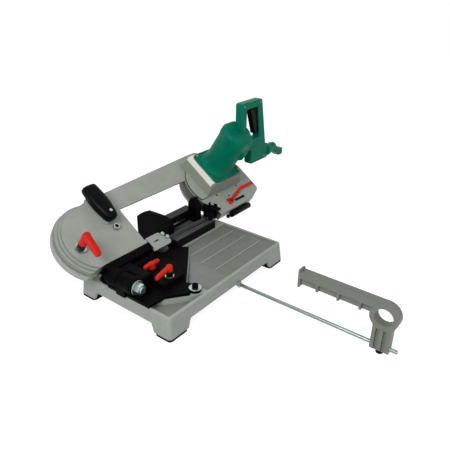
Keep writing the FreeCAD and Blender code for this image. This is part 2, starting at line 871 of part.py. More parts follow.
def stop_arm():
    """Ribbed bar with a round eye at its corner and a clamp on the rod."""
    half = d.stop_bar_width / 2
    left = d.rod_x - half
    low = d.stop_bar_top - d.stop_bar_height
    eye_y = d.stop_clamp_y
    eye_z = d.stop_bar_top - d.stop_ring_radius
    end = eye_y + d.stop_bar_length
    clamp_start = eye_y - d.stop_clamp_length / 2
    pieces = [
        box((d.rod_x - d.stop_web / 2, eye_y, low), (d.stop_web, d.stop_bar_length, d.stop_bar_height)),
        box((left, eye_y, d.stop_bar_top - d.stop_band), (d.stop_bar_width, d.stop_bar_length, d.stop_band)),
        box((left, end - d.stop_flange, low - d.stop_flange),
            (d.stop_bar_width, d.stop_flange, d.stop_bar_height + d.stop_flange * 2)),
        rod("X", (left, eye_y, eye_z), d.stop_ring_radius, d.stop_bar_width),
        box((left, eye_y - d.stop_leg_width / 2, d.rod_z),
            (d.stop_bar_width, d.stop_leg_width, eye_z - d.rod_z)),
        rod("Y", (d.rod_x, clamp_start, d.rod_z), d.stop_clamp_radius, d.stop_clamp_length),
    ]
    for step in range(1, STOP_RIBS + 1):
        y = end - d.stop_bar_length * step / (STOP_RIBS + 1)
        pieces.append(box((left, y, low), (d.stop_bar_width, d.stop_flange, d.stop_bar_height)))
    rod_bore = rod("Y", (d.rod_x, eye_y - d.stop_clamp_length, d.rod_z), d.rod_radius + d.fit_clearance,
                   d.stop_clamp_length * 2)
    hole = rod("X", (left - d.overrun, eye_y, eye_z), d.stop_ring_hole, d.stop_bar_width + d.overrun * 2)
    step = d.stop_clamp_length / (STOP_RIBS * 2 - 1)
    depth = eye_z - d.stop_ring_radius - d.rod_z + d.stop_clamp_radius * 2
    groove_low = d.rod_z - d.stop_clamp_radius * 2
    grooves = [box((left - d.overrun, clamp_start + step * (2 * index + 1), groove_low),
                   (half - d.stop_web / 2, step, depth)) for index in range(STOP_RIBS - 1)]
    bolt_bore = rod("Z", (d.rod_x, eye_y, d.rod_z - d.stop_clamp_radius - d.overrun),
                    d.stop_bolt_radius + d.fit_clearance, d.stop_clamp_radius)
    return node("stop_arm", cut(fuse(*pieces), rod_bore, hole, bolt_bore, *grooves))


def stop_arm_bolt():
    tip = d.rod_z - d.rod_radius - d.gap
    head = d.rod_z - d.stop_clamp_radius - d.gap
    shank = rod("-Z", (d.rod_x, d.stop_clamp_y, tip), d.stop_bolt_radius, tip - head)
    cap = rod("-Z", (d.rod_x, d.stop_clamp_y, head), d.stop_bolt_radius * 2, d.stop_bolt_radius)
    return node("stop_arm_bolt", fuse(shank, cap))


# Turret

def lug_start():
    return d.hinge_front + d.hinge_front_knuckle + d.gap


def flange_start_y():
    """Front of the round flange that ends the hinge barrel behind the lug."""
    return lug_start() + d.hinge_lug_length + d.gap + d.hinge_rear_knuckle * 2 - d.hinge_flange


def turret_casting():
    half_x = d.base_length / 2
    half_y = d.base_width / 2
    plan = [(x * half_x, y * half_y) for x, y in TURRET_PLAN_SHARES]
    plan += [(pivot[0], pivot[1] + d.pivot_disc_radius), (pivot[0] + d.pivot_disc_radius / 2, pivot[1])]
    foot = fuse(prism("XY", plan, foot_z, d.turret_foot),
                rod("Z", (pivot[0], pivot[1], foot_z), d.pivot_disc_radius, d.turret_foot),
                rod("Z", lock_spot(foot_z), d.turret_lobe, d.turret_foot))
    outline = [(x * half_x, y * half_y) for x, y in TURRET_BODY_SHARES]
    body = prism("XY", outline, foot_top, d.turret_body_height, (((0, 1, 2, 3, 4), d.turret_lobe / 2),))
    top = body_top.number
    body = round_edges(body, lambda edge: edge.BoundBox.ZMin > top - d.fit_clearance.number, d.turret_edge)
    start = lug_start()
    lug = rod("Y", (hinge_x, start, d.hinge_z), d.hinge_lug_radius, d.hinge_lug_length)
    stand = box((hinge_x - d.hinge_lug_radius, start, foot_z),
                (d.hinge_lug_radius * 2, d.hinge_lug_length, d.hinge_z - foot_z))
    bore = rod("Y", (hinge_x, start - d.overrun, d.hinge_z), d.hinge_pin_radius + d.fit_clearance,
               d.hinge_lug_length + d.overrun * 2)
    pin_bore = rod("Z", (pivot[0], pivot[1], foot_z - d.overrun), d.pivot_pin_radius + d.fit_clearance,
                   d.turret_foot + d.overrun * 2)
    swing = d.hinge_knuckle_radius + d.gap * 4
    front_room = rod("Y", (hinge_x, d.hinge_front - d.overrun, d.hinge_z), swing,
                     start - d.hinge_front + d.overrun)
    rear_room = rod("Y", (hinge_x, start + d.hinge_lug_length, d.hinge_z), swing,
                    d.hinge_rear_knuckle + d.bed_depth)
    flange_room = rod("Y", (hinge_x, flange_start_y() - d.gap * 2, d.hinge_z),
                      d.hinge_flange_radius + d.gap * 4, d.base_width)
    lock_bore = rod("Z", lock_spot(foot_z - d.overrun), d.lock_bolt_radius + d.gap,
                    d.turret_foot + d.overrun * 2)
    studs = [rod("Z", (x, y, foot_z - d.overrun), d.clamp_stud_radius + d.fit_clearance,
                 body_top - foot_z + d.overrun * 2) for x, y in stud_spots()]
    screws = [rod("Z", (x, y, foot_z - d.overrun), d.stop_screw_radius + d.fit_clearance,
                  body_top - foot_z + d.overrun * 2) for x, y in stop_spots()]
    block = cut(fuse(foot, body), front_room, rear_room, flange_room, *studs, *screws)
    return node("turret_casting", cut(fuse(block, stand, lug), bore, pin_bore, lock_bore))


def lock_spot(z):
    return (pivot[0] + lock_radius() * cosine(d.lock_angle), pivot[1] + lock_radius() * sine(d.lock_angle), z)


def stud_spots():
    return ((clamp_x, d.clamp_y), (wing_x, d.wing_y))


def stop_spots():
    x = block_left + d.arm_block_length - d.stop_screw_radius * 4
    middle = lug_start() + d.hinge_lug_length / 2
    return [(x, middle + side * d.stop_screw_spacing / 2) for side in (-1, 1)]


def mitre_lock_bolt():
    """Socket-head bolt in the base's curved slot, and a wide washer under its head."""
    low = d.tray_floor - d.deck_thickness
    top = foot_top + d.lock_washer_height
    x, y, z = lock_spot(top)
    head = cut(rod("Z", (x, y, z), d.lock_head_radius, d.lock_head_height),
               hexagon("Z", (x, y, z + d.lock_head_height / 2), d.lock_bolt_radius, d.lock_head_height))
    bolt = fuse(head, rod("Z", (x, y, low), d.lock_bolt_radius, top - low))
    washer = ring("Z", (x, y, foot_top), d.lock_washer_radius, d.lock_bolt_radius + d.gap,
                  d.lock_washer_height)
    node("lock_washer", washer)
    return node("mitre_lock_bolt", bolt)


def turret_studs():
    """Studs of the clamp lever and the wing knob, and the washer below the lever."""
    clamp = rod("Z", (clamp_x, d.clamp_y, foot_z), d.clamp_stud_radius,
                body_top + d.clamp_washer_height + d.clamp_hub_height - foot_z)
    wing = rod("Z", (wing_x, d.wing_y, foot_z), d.clamp_stud_radius, body_top + d.wing_stud_height - foot_z)
    washer = ring("Z", (clamp_x, d.clamp_y, body_top), d.clamp_washer_radius,
                  d.clamp_stud_radius + d.fit_clearance, d.clamp_washer_height)
    return node("turret_studs", group(clamp, wing, washer))


def stop_screws():
    tip = d.arm_block_bottom - d.gap
    pieces = [fuse(rod("Z", (x, y, foot_z), d.stop_screw_radius, tip - foot_z),
                   ring("Z", (x, y, body_top), d.stop_screw_radius * 2, d.stop_screw_radius / 2,
                        (tip - body_top) / 3)) for x, y in stop_spots()]
    return node("stop_screws", group(*pieces))


def clamp_lever():
    """Hub with a black collar below and a drooping arm towards the idler end."""
    low = body_top + d.clamp_washer_height + d.gap
    hub_top = low + d.clamp_hub_height
    bore = rod("Z", (clamp_x, d.clamp_y, low - d.overrun), d.clamp_stud_radius + d.fit_clearance,
               d.clamp_hub_height + d.overrun)
    hub = rod("Z", (clamp_x, d.clamp_y, low + d.clamp_collar_height), d.clamp_hub_radius,
              hub_top - low - d.clamp_collar_height + d.clamp_hub_radius)
    top = hub_top + d.clamp_hub_radius
    far = clamp_x - d.clamp_arm_length
    end_top = top - d.clamp_arm_droop
    outline = ((clamp_x, top), (far, end_top), (far, end_top - d.clamp_arm_height),
               (clamp_x, top - d.clamp_arm_height))
    arm = prism("XZ", outline, d.clamp_y - d.clamp_arm_width / 2, d.clamp_arm_width,
                (((1, 2), d.clamp_arm_height / 4),))
    collar = ring("Z", (clamp_x, d.clamp_y, low), d.clamp_hub_radius - d.gap,
                  d.clamp_stud_radius + d.fit_clearance, d.clamp_collar_height)
    node("clamp_collar", collar)
    return node("swivel_clamp_lever", cut(fuse(hub, arm), bore))


def wing_knob():
    low = body_top + d.gap
    half = d.wing_span / 2
    wide = d.wing_width / 2
    outline = ((wing_x - half, d.wing_y - wide / 2), (wing_x - half / 2, d.wing_y - wide),
               (wing_x + half / 2, d.wing_y - wide), (wing_x + half, d.wing_y - wide / 2),
               (wing_x + half, d.wing_y + wide / 2), (wing_x + half / 2, d.wing_y + wide),
               (wing_x - half / 2, d.wing_y + wide), (wing_x - half, d.wing_y + wide / 2))
    wings = prism("XY", outline, low + d.wing_neck, d.wing_height, (((0, 3, 4, 7), wide / 4),))
    hub = rod("Z", (wing_x, d.wing_y, low), d.wing_hub_radius, d.wing_neck + d.wing_height / 2)
    bore = rod("Z", (wing_x, d.wing_y, low - d.overrun), d.clamp_stud_radius + d.fit_clearance,
               d.wing_height * 3)
    return node("wing_knob", cut(fuse(wings, hub), bore))


# Bow, drawn in its own frame

def bow_outline():
    """Straight-sided part of the bow: beam, right leg and the strip below the idler drum."""
    rise = d.beam_outer + d.beam_rise
    shoulder = [(idler_u + u * d.bow_face_radius, d.wheel_radius + v * d.bow_face_radius)
                for u, v in BOW_SHOULDER_SHARES]
    return ((idler_u, d.bow_lower_edge), (-d.window_left, d.bow_lower_edge), (-d.window_left, d.window_top),
            (leg_notch_u, d.window_top), (leg_notch_u, -d.leg_drop), (d.plate_corner_u, -d.leg_drop),
            (d.plate_right, zero), (d.plate_right, d.plate_shoulder_v), (drive_u + d.wheel_radius / 2, rise),
            (drive_u, rise), *shoulder)


def below_lower_edge():
    """Everything below the straight lower edge at the idler end."""
    return box((-d.base_length, d.bow_lower_edge - d.base_width, -d.base_width),
               (d.base_length - d.window_left, d.base_width, d.base_width * 2))


def bow_plate(start, depth, drum_radius):
    """One layer of the bow: its straight-sided part and both wheel housings, cut at the lower edge."""
    corners = (((2,), d.window_round), ((6, 7, 8), d.plate_round))
    body = prism("XY", bow_outline(), start, depth, corners)
    under_lip = box((-d.window_left, d.window_top - d.overrun, -d.base_width),
                    (d.window_left + leg_notch_u, d.beam_lip_set + d.overrun,
                     d.base_width + d.bow_face - d.beam_lip))
    disc = rod("Z", (idler_u, d.wheel_radius, start), drum_radius, depth)
    drive = rod("Z", (drive_u, d.wheel_radius, start), housing_radius(), depth)
    return cut(fuse(cut(body, under_lip), disc, drive), below_lower_edge())


def housing_radius():
    """Outside of the drive wheel's round housing."""
    return d.wheel_radius + d.wheel_room + d.cover_wall


def wheel_cavity(start, depth):
    """Room inside the bow for both wheels and the blade between them."""
    room = d.wheel_radius + d.wheel_room
    half = d.beam_channel
    back_run = d.wheel_radius * 2
    return fuse(
        rod("Z", (idler_u, d.wheel_radius, start), room + d.tension_travel / 2, depth),
        rod("Z", (drive_u, d.wheel_radius, start), room, depth),
        box((idler_u, back_run - half, start), (d.wheel_centres, half * 2, depth)),
        box((leg_notch_u - d.overrun, -d.channel_drop, start),
            (drive_u - leg_notch_u + d.overrun, d.channel_drop * 2, depth)))


def bow_casting():
    face = d.bow_face
    step = d.bow_step
    lower = bow_plate(back_n, face - step + d.bow_back, d.bow_rim_radius)
    middle = rod("Z", (idler_u, d.wheel_radius, back_n), d.bow_step_radius, face - step / 2 + d.bow_back)
    upper = bow_plate(face - step - d.bow_wall, step + d.bow_wall, d.bow_face_radius)
    drum = rod("Z", (drive_u, d.wheel_radius, face - d.bow_wall), d.drum_radius, d.bow_wall + d.drum_height)
    drum_edge = box((drive_u - d.drum_radius * 2, d.gearbox_front, zero),
                    (d.drum_radius * 3, d.drum_radius * 2, d.base_top))
    solid = fuse(lower, cut(middle, below_lower_edge()), upper, common(drum, drum_edge))
    roof = face - d.bow_wall
    hollow = wheel_cavity(back_n - d.overrun, roof + d.bow_back + d.overrun)
    shaft_hole = rod("Z", (drive_u, d.wheel_radius, zero), d.bearing_radius + d.fit_clearance, d.base_top)
    tension_hole = rod("Z", (d.tension_u, d.tension_v, zero), d.tension_shaft_radius + d.fit_clearance,
                       d.base_top)
    slot_start = d.guide_lever_u + d.guide_lever_boss * 2
    slot = box((slot_start, d.guide_slot_v - d.guide_slot_width / 2, roof - d.overrun),
               (d.guide_lever_length / 3, d.guide_slot_width, d.bow_wall + d.overrun * 2))
    holes = [rod("Z", (u * d.plate_right, v * d.plate_shoulder_v, face - d.plate_hole_depth),
                 d.plate_hole_radius, d.plate_hole_depth + d.overrun) for u, v in PLATE_HOLE_SHARES]
    pivot_hole = rod("Z", (d.guide_lever_u, d.guide_lever_v, roof - d.overrun),
                     d.guide_pivot_radius + d.fit_clearance, d.bow_wall + d.overrun * 2)
    return node("bow_casting", cut(solid, hollow, shaft_hole, tension_hole, slot, pivot_hole, *holes), bow=True)


def back_cover():
    """Tray behind the bow over both wheels, the back run and the blade's way out, deeper at the idler."""
    top = back_n - d.gap / 2
    low = top - d.cover_depth
    room = d.wheel_radius + d.wheel_room
    wall = d.cover_wall
    strip_v = d.wheel_radius * 2 - d.cover_strip
    strip = (idler_u, strip_v, low), (d.wheel_centres, d.cover_strip * 2, d.cover_depth)
    exit_low = (leg_notch_u, -d.channel_drop, low)
    exit_size = (drive_u - leg_notch_u, d.channel_drop * 2, d.cover_depth)
    drum_low = top - d.cover_drum_depth
    body = fuse(rod("Z", (idler_u, d.wheel_radius, drum_low), d.cover_drum_radius, d.cover_drum_depth),
                rod("Z", (drive_u, d.wheel_radius, low), room + wall, d.cover_depth), box(*strip),
                box(exit_low, exit_size))
    floor = low + d.cover_thickness
    depth = d.cover_depth
    drum_floor = drum_low + d.cover_thickness
    hollow = fuse(
        rod("Z", (idler_u, d.wheel_radius, drum_floor), room + d.tension_travel / 2, d.cover_drum_depth),
        rod("Z", (drive_u, d.wheel_radius, floor), room, depth),
        box((idler_u, strip_v + wall, floor), (d.wheel_centres, (d.cover_strip - wall) * 2, depth)),
        box((leg_notch_u - d.overrun, -d.channel_drop + wall, floor),
            (drive_u - leg_notch_u + d.overrun, (d.channel_drop - wall) * 2, depth)))
    return node("back_cover", cut(body, hollow, below_lower_edge()), bow=True)


def saw_blade():
    """Endless band: half turns round both wheels, straight back run, and a cut run twisted upright."""
    radius = d.wheel_radius.number
    half = d.blade_thickness.number / 2
    width = d.blade_width.number
    left = idler_u.number
    right = drive_u.number
    parts = []
    for u, start in ((left, 90), (right, -90)):
        base = Vector(u, radius, -width / 2)
        outer = Part.makeCylinder(radius + half, width, base, Vector(0, 0, 1), 180)
        inner = Part.makeCylinder(radius - half, width, base, Vector(0, 0, 1), 180)
        turn = outer.cut(inner)
        turn.rotate(base, Vector(0, 0, 1), start)
        parts.append(turn)
    back = Part.makeBox(right - left, half * 2, width, Vector(left, radius * 2 - half, -width / 2))
    parts.append(back)
    guide_left = -d.left_guide_right.number - d.left_guide_block.number
    guide_right = right_guide_left.number + d.right_guide_block.number
    tilt = -d.bow_tilt.number
    stations = [(left, 0.0), ((left + guide_left) / 2, tilt / 2), (guide_left, tilt), (guide_right, tilt),
                ((guide_right + right) / 2, tilt / 2), (right, 0.0)]
    sections = []
    for u, angle in stations:
        corners = [Vector(u, y, z) for y, z in ((-half, -width / 2), (half, -width / 2), (half, width / 2),
                                                (-half, width / 2))]
        wire = Part.makePolygon(corners + corners[:1])
        wire.rotate(Vector(u, 0, 0), Vector(1, 0, 0), angle)
        sections.append(wire)
    for first, second in zip(sections, sections[1:]):
        parts.append(Part.makeLoft([first, second], True, True))
    band = parts[0].fuse(parts[1:]).removeSplitter()
    feature = doc.addObject("Part::Feature", "saw_blade")
    feature.Shape = band
    return node("saw_blade", feature, bow=True)


def hinge_arm():
    """Channel that closes the bow's lower edge over the blade, with the hinge knuckles in front."""
    left = -d.channel_left
    length = d.channel_left - d.channel_right
    front = -d.channel_drop
    top = d.bow_face + d.channel_flange / 2
    bottom = -d.channel_floor
    edge = d.bow_lower_edge - d.gap
    wall = box((left, front, bottom), (length, d.channel_wall, top - bottom))
    roof = box((left, front, top - d.channel_flange), (length, edge - front, d.channel_flange))
    floor = box((left, front, bottom), (length, edge - front, d.channel_flange / 2))
    channel = on_bow(fuse(wall, roof, floor))
    inside = on_bow(group(box((left - d.base_width, front + d.channel_wall, bottom - d.base_top),
                              (d.base_width + d.channel_left, d.base_width, d.base_width))))
    front_y = d.hinge_front
    rear_y = lug_start() + d.hinge_lug_length + d.gap
    front_knuckle = rod("Y", (hinge_x, front_y, d.hinge_z), d.hinge_knuckle_radius, d.hinge_front_knuckle)
    rear_knuckle = rod("Y", (hinge_x, rear_y, d.hinge_z), d.hinge_knuckle_radius, d.hinge_rear_knuckle * 2)
    flange = rod("Y", (hinge_x, flange_start_y(), d.hinge_z), d.hinge_flange_radius, d.hinge_flange)
    block = box((block_left, front_y, d.arm_block_bottom),
                (d.arm_block_length, d.hinge_rear_knuckle * 2 + rear_y - front_y, d.arm_block_height))
    block_top = (d.arm_block_bottom + d.arm_block_height).number - d.fit_clearance.number
    block = soften(block, lambda edge: edge.BoundBox.ZMin > block_top, d.arm_block_round)
    reach = block_left - hinge_x
    links = [box((hinge_x, start, d.arm_block_bottom), (reach, depth, d.arm_block_height))
             for start, depth in ((front_y, d.hinge_front_knuckle), (rear_y, d.hinge_rear_knuckle * 2))]
    body = cut(fuse(front_knuckle, rear_knuckle, flange, block, *links), inside)
    bore = rod("Y", (hinge_x, front_y - d.overrun, d.hinge_z), d.hinge_pin_radius + d.fit_clearance,
               rear_y + d.hinge_rear_knuckle - front_y)
    return node("hinge_arm", cut(fuse(channel, body), bore))


def hinge_bolt():
    start = d.hinge_front - d.hinge_washer_height - d.hinge_nut_height - d.hinge_pin_radius / 2
    end = lug_start() + d.hinge_lug_length + d.hinge_rear_knuckle - d.overrun * 2
    return node("hinge_bolt", rod("Y", (hinge_x, start, d.hinge_z), d.hinge_pin_radius, end - start))


def hinge_nut():
    bore = d.hinge_pin_radius + d.fit_clearance
    face = d.hinge_front
    back = face - d.hinge_washer_height
    washer = ring("-Y", (hinge_x, face, d.hinge_z), d.hinge_washer_radius, bore, d.hinge_washer_height)
    nut = cut(hexagon("-Y", (hinge_x, back, d.hinge_z), d.hinge_nut_radius, d.hinge_nut_height),
              rod("-Y", (hinge_x, back, d.hinge_z), bore, d.hinge_nut_height))
    return node("hinge_nut_and_washer", group(washer, nut))


# Blade guides

def above_face(level):
    size = (d.base_length * 2, d.base_width * 2, d.base_width)
    return on_bow(group(box((-d.base_length, -d.base_width, level), size)))


def throat(left, length):
    """Slot for the blade and its pads, open below."""
    half = d.guide_throat
    top = d.blade_z + half_blade + d.gap * 2
    return box((left - d.overrun, d.blade_y - half, d.guide_bottom - d.overrun),
               (length + d.overrun * 2, half * 2, top - d.guide_bottom + d.overrun))


def guide_yoke(left, length, level):
    """Block that straddles the blade, cut off at the plate that carries it."""
    height = d.guide_depth * 3
    block = box((left, d.guide_front, d.guide_bottom), (length, d.guide_depth, height))
    return cut(block, throat(left, length), above_face(level))


def left_guide_bracket():
    level = d.bow_face - d.guide_plate
    reach = d.left_guide_reach
    left = -d.channel_right + d.gap
    right = -d.left_guide_right
    outline = ((left, -reach), (right - d.guide_bolt_radius, -reach), (right, -reach * 2 / 3),
               (right - reach, reach), (left, reach))
    plate = prism("XY", outline, level, d.guide_plate, (((1, 2, 3), d.guide_bolt_radius / 2),))
    middle = (left + right) / 2
    slot = box((middle - d.bracket_slot_length, zero, level - d.overrun),
               (d.bracket_slot_length, d.bracket_slot_width, d.guide_plate + d.overrun * 2))
    return node("left_guide_bracket", cut(plate, slot), bow=True)


def left_guide_block():
    left = -d.left_guide_right - d.left_guide_block
    return node("left_guide_block", guide_yoke(left, d.left_guide_block, d.bow_face - d.guide_plate))


def right_guide_block():
    """Yoke and the slanted plate that bolts it to the bow's face."""
    housing = on_bow(group(rod("Z", (drive_u, d.wheel_radius, -d.base_width), housing_radius() + d.gap,
                               d.base_width + d.bow_face)))
    yoke = cut(guide_yoke(right_guide_left, d.right_guide_block, d.bow_face), housing)
    half = d.right_plate_width / 2
    middle_u = right_guide_left + d.right_guide_block
    middle_v = d.right_plate_width / 2
    reach = d.right_plate_length / 2
    lean = d.right_plate_width / 3
    outline = ((middle_u - reach, middle_v - half / 2), (middle_u - lean, middle_v + half + lean),
               (middle_u + reach - lean, middle_v - half / 2), (middle_u + lean, middle_v - half - lean))
    rounds = (((0, 1, 2, 3), d.guide_bolt_radius / 2),)
    plate = on_bow(prism("XY", outline, d.bow_face, d.guide_plate, rounds))
    return node("right_guide_block", fuse(yoke, plate))


def guide_pads():
    pads = []
    near = d.blade_thickness / 2 + d.gap / 2
    thick = d.guide_throat - near
    low = d.blade_z + half_blade - d.guide_pad_height
    places = (-d.left_guide_right - d.left_guide_block / 2, right_guide_left + d.right_guide_block / 2)
    for middle in places:
        start = middle - d.guide_pad_length / 2
        for y in (d.blade_y - near - thick, d.blade_y + near):
            pads.append(box((start, y, low), (d.guide_pad_length, thick, d.guide_pad_height)))
    return node("guide_pads", group(*pads))


def guard_tube():
    """Round bar below the bow's right edge, with its fixing rod and nut."""
    v = -d.tube_drop
    tube = rod("X", (d.tube_left, v, d.tube_rise), d.tube_radius, d.tube_length)
    end = (d.tube_left - d.tube_radius * 2, v, d.tube_rise)
    inner = rod("X", end, d.tube_rod_radius, d.tube_radius * 2)
    nut = hexagon("X", end, d.tube_rod_radius * 2, d.tube_rod_radius * 2)
    lug = box((d.tube_left + d.tube_radius, v, d.tube_rise - d.tube_rod_radius),
              (d.tube_length - d.tube_radius * 2, d.tube_drop - d.leg_drop, d.tube_rod_radius * 2))
    return node("guard_tube", fuse(tube, inner, nut, lug), bow=True)


def guide_lever():
    """Flat cranked lever on the bow's face."""
    low = d.bow_face + d.gap
    u = d.guide_lever_u
    v = d.guide_lever_v
    half = d.guide_lever_width / 2
    bend_u = u + GUIDE_LEVER_BEND_SHARES[0] * d.guide_lever_length
    bend_v = v + GUIDE_LEVER_BEND_SHARES[1] * d.guide_lever_length
    end_u = u + d.guide_lever_length
    outline = ((u, v - half), (bend_u + half / 2, bend_v - half), (end_u, bend_v - half),
               (end_u, bend_v + half), (bend_u - half / 2, bend_v + half), (u, v + half))
    strip = prism("XY", outline, low, d.guide_lever_thickness)
    boss = prism("XY", ((u - d.guide_lever_boss, v - d.guide_lever_boss), (u + d.guide_lever_boss, v - half),
                        (u + d.guide_lever_boss, v + half), (u - d.guide_lever_boss, v + d.guide_lever_boss)),
                 low, d.guide_lever_thickness * 2)
    bore = rod("Z", (u, v, low - d.overrun), d.guide_pivot_radius + d.fit_clearance,
               d.guide_lever_thickness * 4)
    return node("guide_lever", cut(fuse(strip, boss), bore), bow=True)


# Front grip and face details

def grip_outline(inset):
    """Plan of the front grip, drawn in by the given amount: widest at its middle, square at its far end."""
    near = GRIP_END_SHARES[0] * d.grip_width / 2 - inset
    far = GRIP_END_SHARES[1] * d.grip_width / 2 - inset
    half = d.grip_width / 2 - inset
    start = d.grip_start + inset
    end = d.grip_start + d.grip_length - inset
    middle = (start + end) / 2
    return ((d.grip_u - near, start), (d.grip_u + near, start), (d.grip_u + half, middle),
            (d.grip_u + far, end), (d.grip_u - far, end), (d.grip_u - half, middle))


def grip_base():
    """Pad of the casting below the grip."""
    pad = prism("XY", grip_outline(d.grip_pad_inset), d.bow_face, d.grip_stand, (((0, 1), d.grip_round),))
    return node("grip_base", cut(pad, below_beam()), bow=True)


def below_beam():
    """Everything beyond the beam's outer edge, where the grip has no casting below it."""
    return box((-d.base_length, d.beam_outer, -d.base_width), (d.base_length, d.base_width, d.base_width * 2))


def front_grip():
    low = d.bow_face + d.grip_stand
    rounds = (((0, 1, 2, 3, 4, 5), d.grip_round),)
    body = prism("XY", grip_outline(zero), low, d.grip_height, rounds)
    ends = (low.number, (low + d.grip_height).number)
    body = round_edges(body, lambda edge: flat_at(edge, ends), d.grip_round / 2)
    return node("front_grip", body, bow=True)


def flat_at(edge, levels):
    near = d.fit_clearance.number
    limits = edge.BoundBox
    return limits.ZLength < near and any(abs(limits.ZMin - z) < near for z in levels)


def tracking_nut():
    start = (d.tracking_u, d.tracking_v, d.bow_face)
    nut = ring("Z", start, d.tracking_radius, d.tracking_bore, d.tracking_height)
    return node("tracking_nut", nut, bow=True)


def bow_bolts():
    """Bolts of the guides and the front grip, and the guide lever's pivot, on the bow's face."""
    pieces = []
    reach = d.left_guide_reach
    right = -d.left_guide_right
    left_spots = ((right - reach * 2 / 3, reach / 2), (right - reach / 3, -reach / 8))
    middle_u = right_guide_left + d.right_guide_block
    middle_v = d.right_plate_width / 2
    step = d.right_plate_width / 3
    right_spots = ((middle_u - step, middle_v + step), (middle_u + step, middle_v - step))
    for spots, level in ((left_spots, d.bow_face), (right_spots, d.bow_face + d.guide_plate)):
        for u, v in spots:
            pieces.append(hexagon("Z", (u, v, level), d.guide_bolt_radius, d.guide_bolt_height))
    grip_top = d.bow_face + d.grip_stand + d.grip_height
    pieces.append(rod("Z", (d.grip_u, d.grip_start + d.grip_round * 2, grip_top), d.grip_bolt_radius,
                      d.grip_bolt_radius / 2))
    lever_top = d.bow_face + d.gap * 2 + d.guide_lever_thickness * 2
    roof = d.bow_face - d.bow_wall
    radius = d.guide_pivot_radius
    u = d.guide_lever_u
    v = d.guide_lever_v
    pieces.append(fuse(rod("Z", (u, v, roof), radius, lever_top - roof),
                       rod("Z", (u, v, lever_top), radius * 3 / 2, radius / 2)))
    return node("bow_bolts", group(*pieces), bow=True)


# Wheels and blade tension

def wheel(u, bore):
    half = d.wheel_width / 2
    tread = d.wheel_radius - d.blade_thickness / 2 - d.gap
    inner = tread - d.wheel_rim
    web = d.wheel_web / 2
    hub = d.wheel_hub_radius
    profile = ((bore, -half), (hub, -half), (hub, -web), (inner, -web), (inner, -half), (tread, -half),
               (tread, half), (inner, half), (inner, web), (hub, web), (hub, half), (bore, half))
    return group(seat(turned(profile), (u, d.wheel_radius, zero)))


def idler_parts():
    half = d.wheel_width / 2
    node("idler_wheel", wheel(idler_u, d.bearing_radius + d.fit_clearance), bow=True)
    bearings = [ring("Z", (idler_u, d.wheel_radius, start), d.bearing_radius,
                     d.shaft_radius + d.fit_clearance, d.bearing_width)
                for start in (-half, half - d.bearing_width)]
    node("idler_bearings", group(*bearings), bow=True)
    low = half + d.gap * 2
    shaft = rod("Z", (idler_u, d.wheel_radius, -half), d.shaft_radius, half + low + d.carriage_thickness)
    node("idler_shaft", shaft, bow=True)
    half_width = d.carriage_width / 2
    cam = d.tension_hub_radius
    left = d.tension_u + cam + d.gap
    plate = box((left, d.wheel_radius - half_width, low),
                (idler_u + half_width - left, d.carriage_width, d.carriage_thickness))
    hole = rod("Z", (idler_u, d.wheel_radius, low - d.overrun), d.shaft_radius + d.fit_clearance,
               d.carriage_thickness + d.overrun * 2)
    node("idler_carriage", cut(plate, hole), bow=True)


def tension_parts():
    face = d.bow_face
    u = d.tension_u
    v = d.tension_v
    bush = ring("Z", (u, v, face), d.tension_bush_radius, d.tension_shaft_radius + d.fit_clearance,
                d.tension_bush_height)
    node("tension_bush", bush, bow=True)
    low = face + d.tension_bush_height + d.gap
    cam_low = d.wheel_width / 2 + d.gap * 2
    cam = rod("Z", (u, v, cam_low), d.tension_hub_radius, d.carriage_thickness)
    shaft = rod("Z", (u, v, cam_low), d.tension_shaft_radius, low + d.tension_collar - cam_low)
    collar = rod("Z", (u, v, low), d.tension_hub_radius - d.gap, d.tension_collar)
    node("tension_cam_shaft", fuse(cam, shaft, collar), bow=True)
    hub_low = low + d.tension_collar
    hub = rod("Z", (u, v, hub_low), d.tension_hub_radius, d.tension_hub_height)
    half = d.tension_arm_width / 2
    end = v - d.tension_arm_length
    top = hub_low + d.tension_hub_height
    end_top = top - d.tension_arm_droop
    outline = ((v, top), (end, end_top), (end, end_top - d.tension_arm_height), (v, top - d.tension_arm_height))
    arm = prism("YZ", outline, u - half, d.tension_arm_width, (((1, 2), d.tension_arm_height / 4),))
    node("tension_lever", fuse(hub, arm), bow=True)


def drive_parts():
    half = d.wheel_width / 2
    node("drive_wheel", wheel(drive_u, d.shaft_radius + d.fit_clearance), bow=True)
    top = gear_start() + d.gear_width
    node("drive_shaft", rod("Z", (drive_u, d.wheel_radius, -half), d.shaft_radius, top + half), bow=True)
    gear = ring("Z", (drive_u, d.wheel_radius, gear_start()), d.gear_radius, d.shaft_radius + d.fit_clearance,
                d.gear_width)
    node("output_gear", gear, bow=True)


# Gearbox, motor and rear handle

def drum_top():
    return d.bow_face + d.drum_height


def gearbox_top():
    return d.bow_face + d.drum_height + d.gearbox_height


def flange_start():
    return gearbox_top() + d.spacer_thickness


def motor_start():
    return flange_start() + d.flange_thickness


def gear_start():
    return drum_top() + d.gearbox_wall / 2


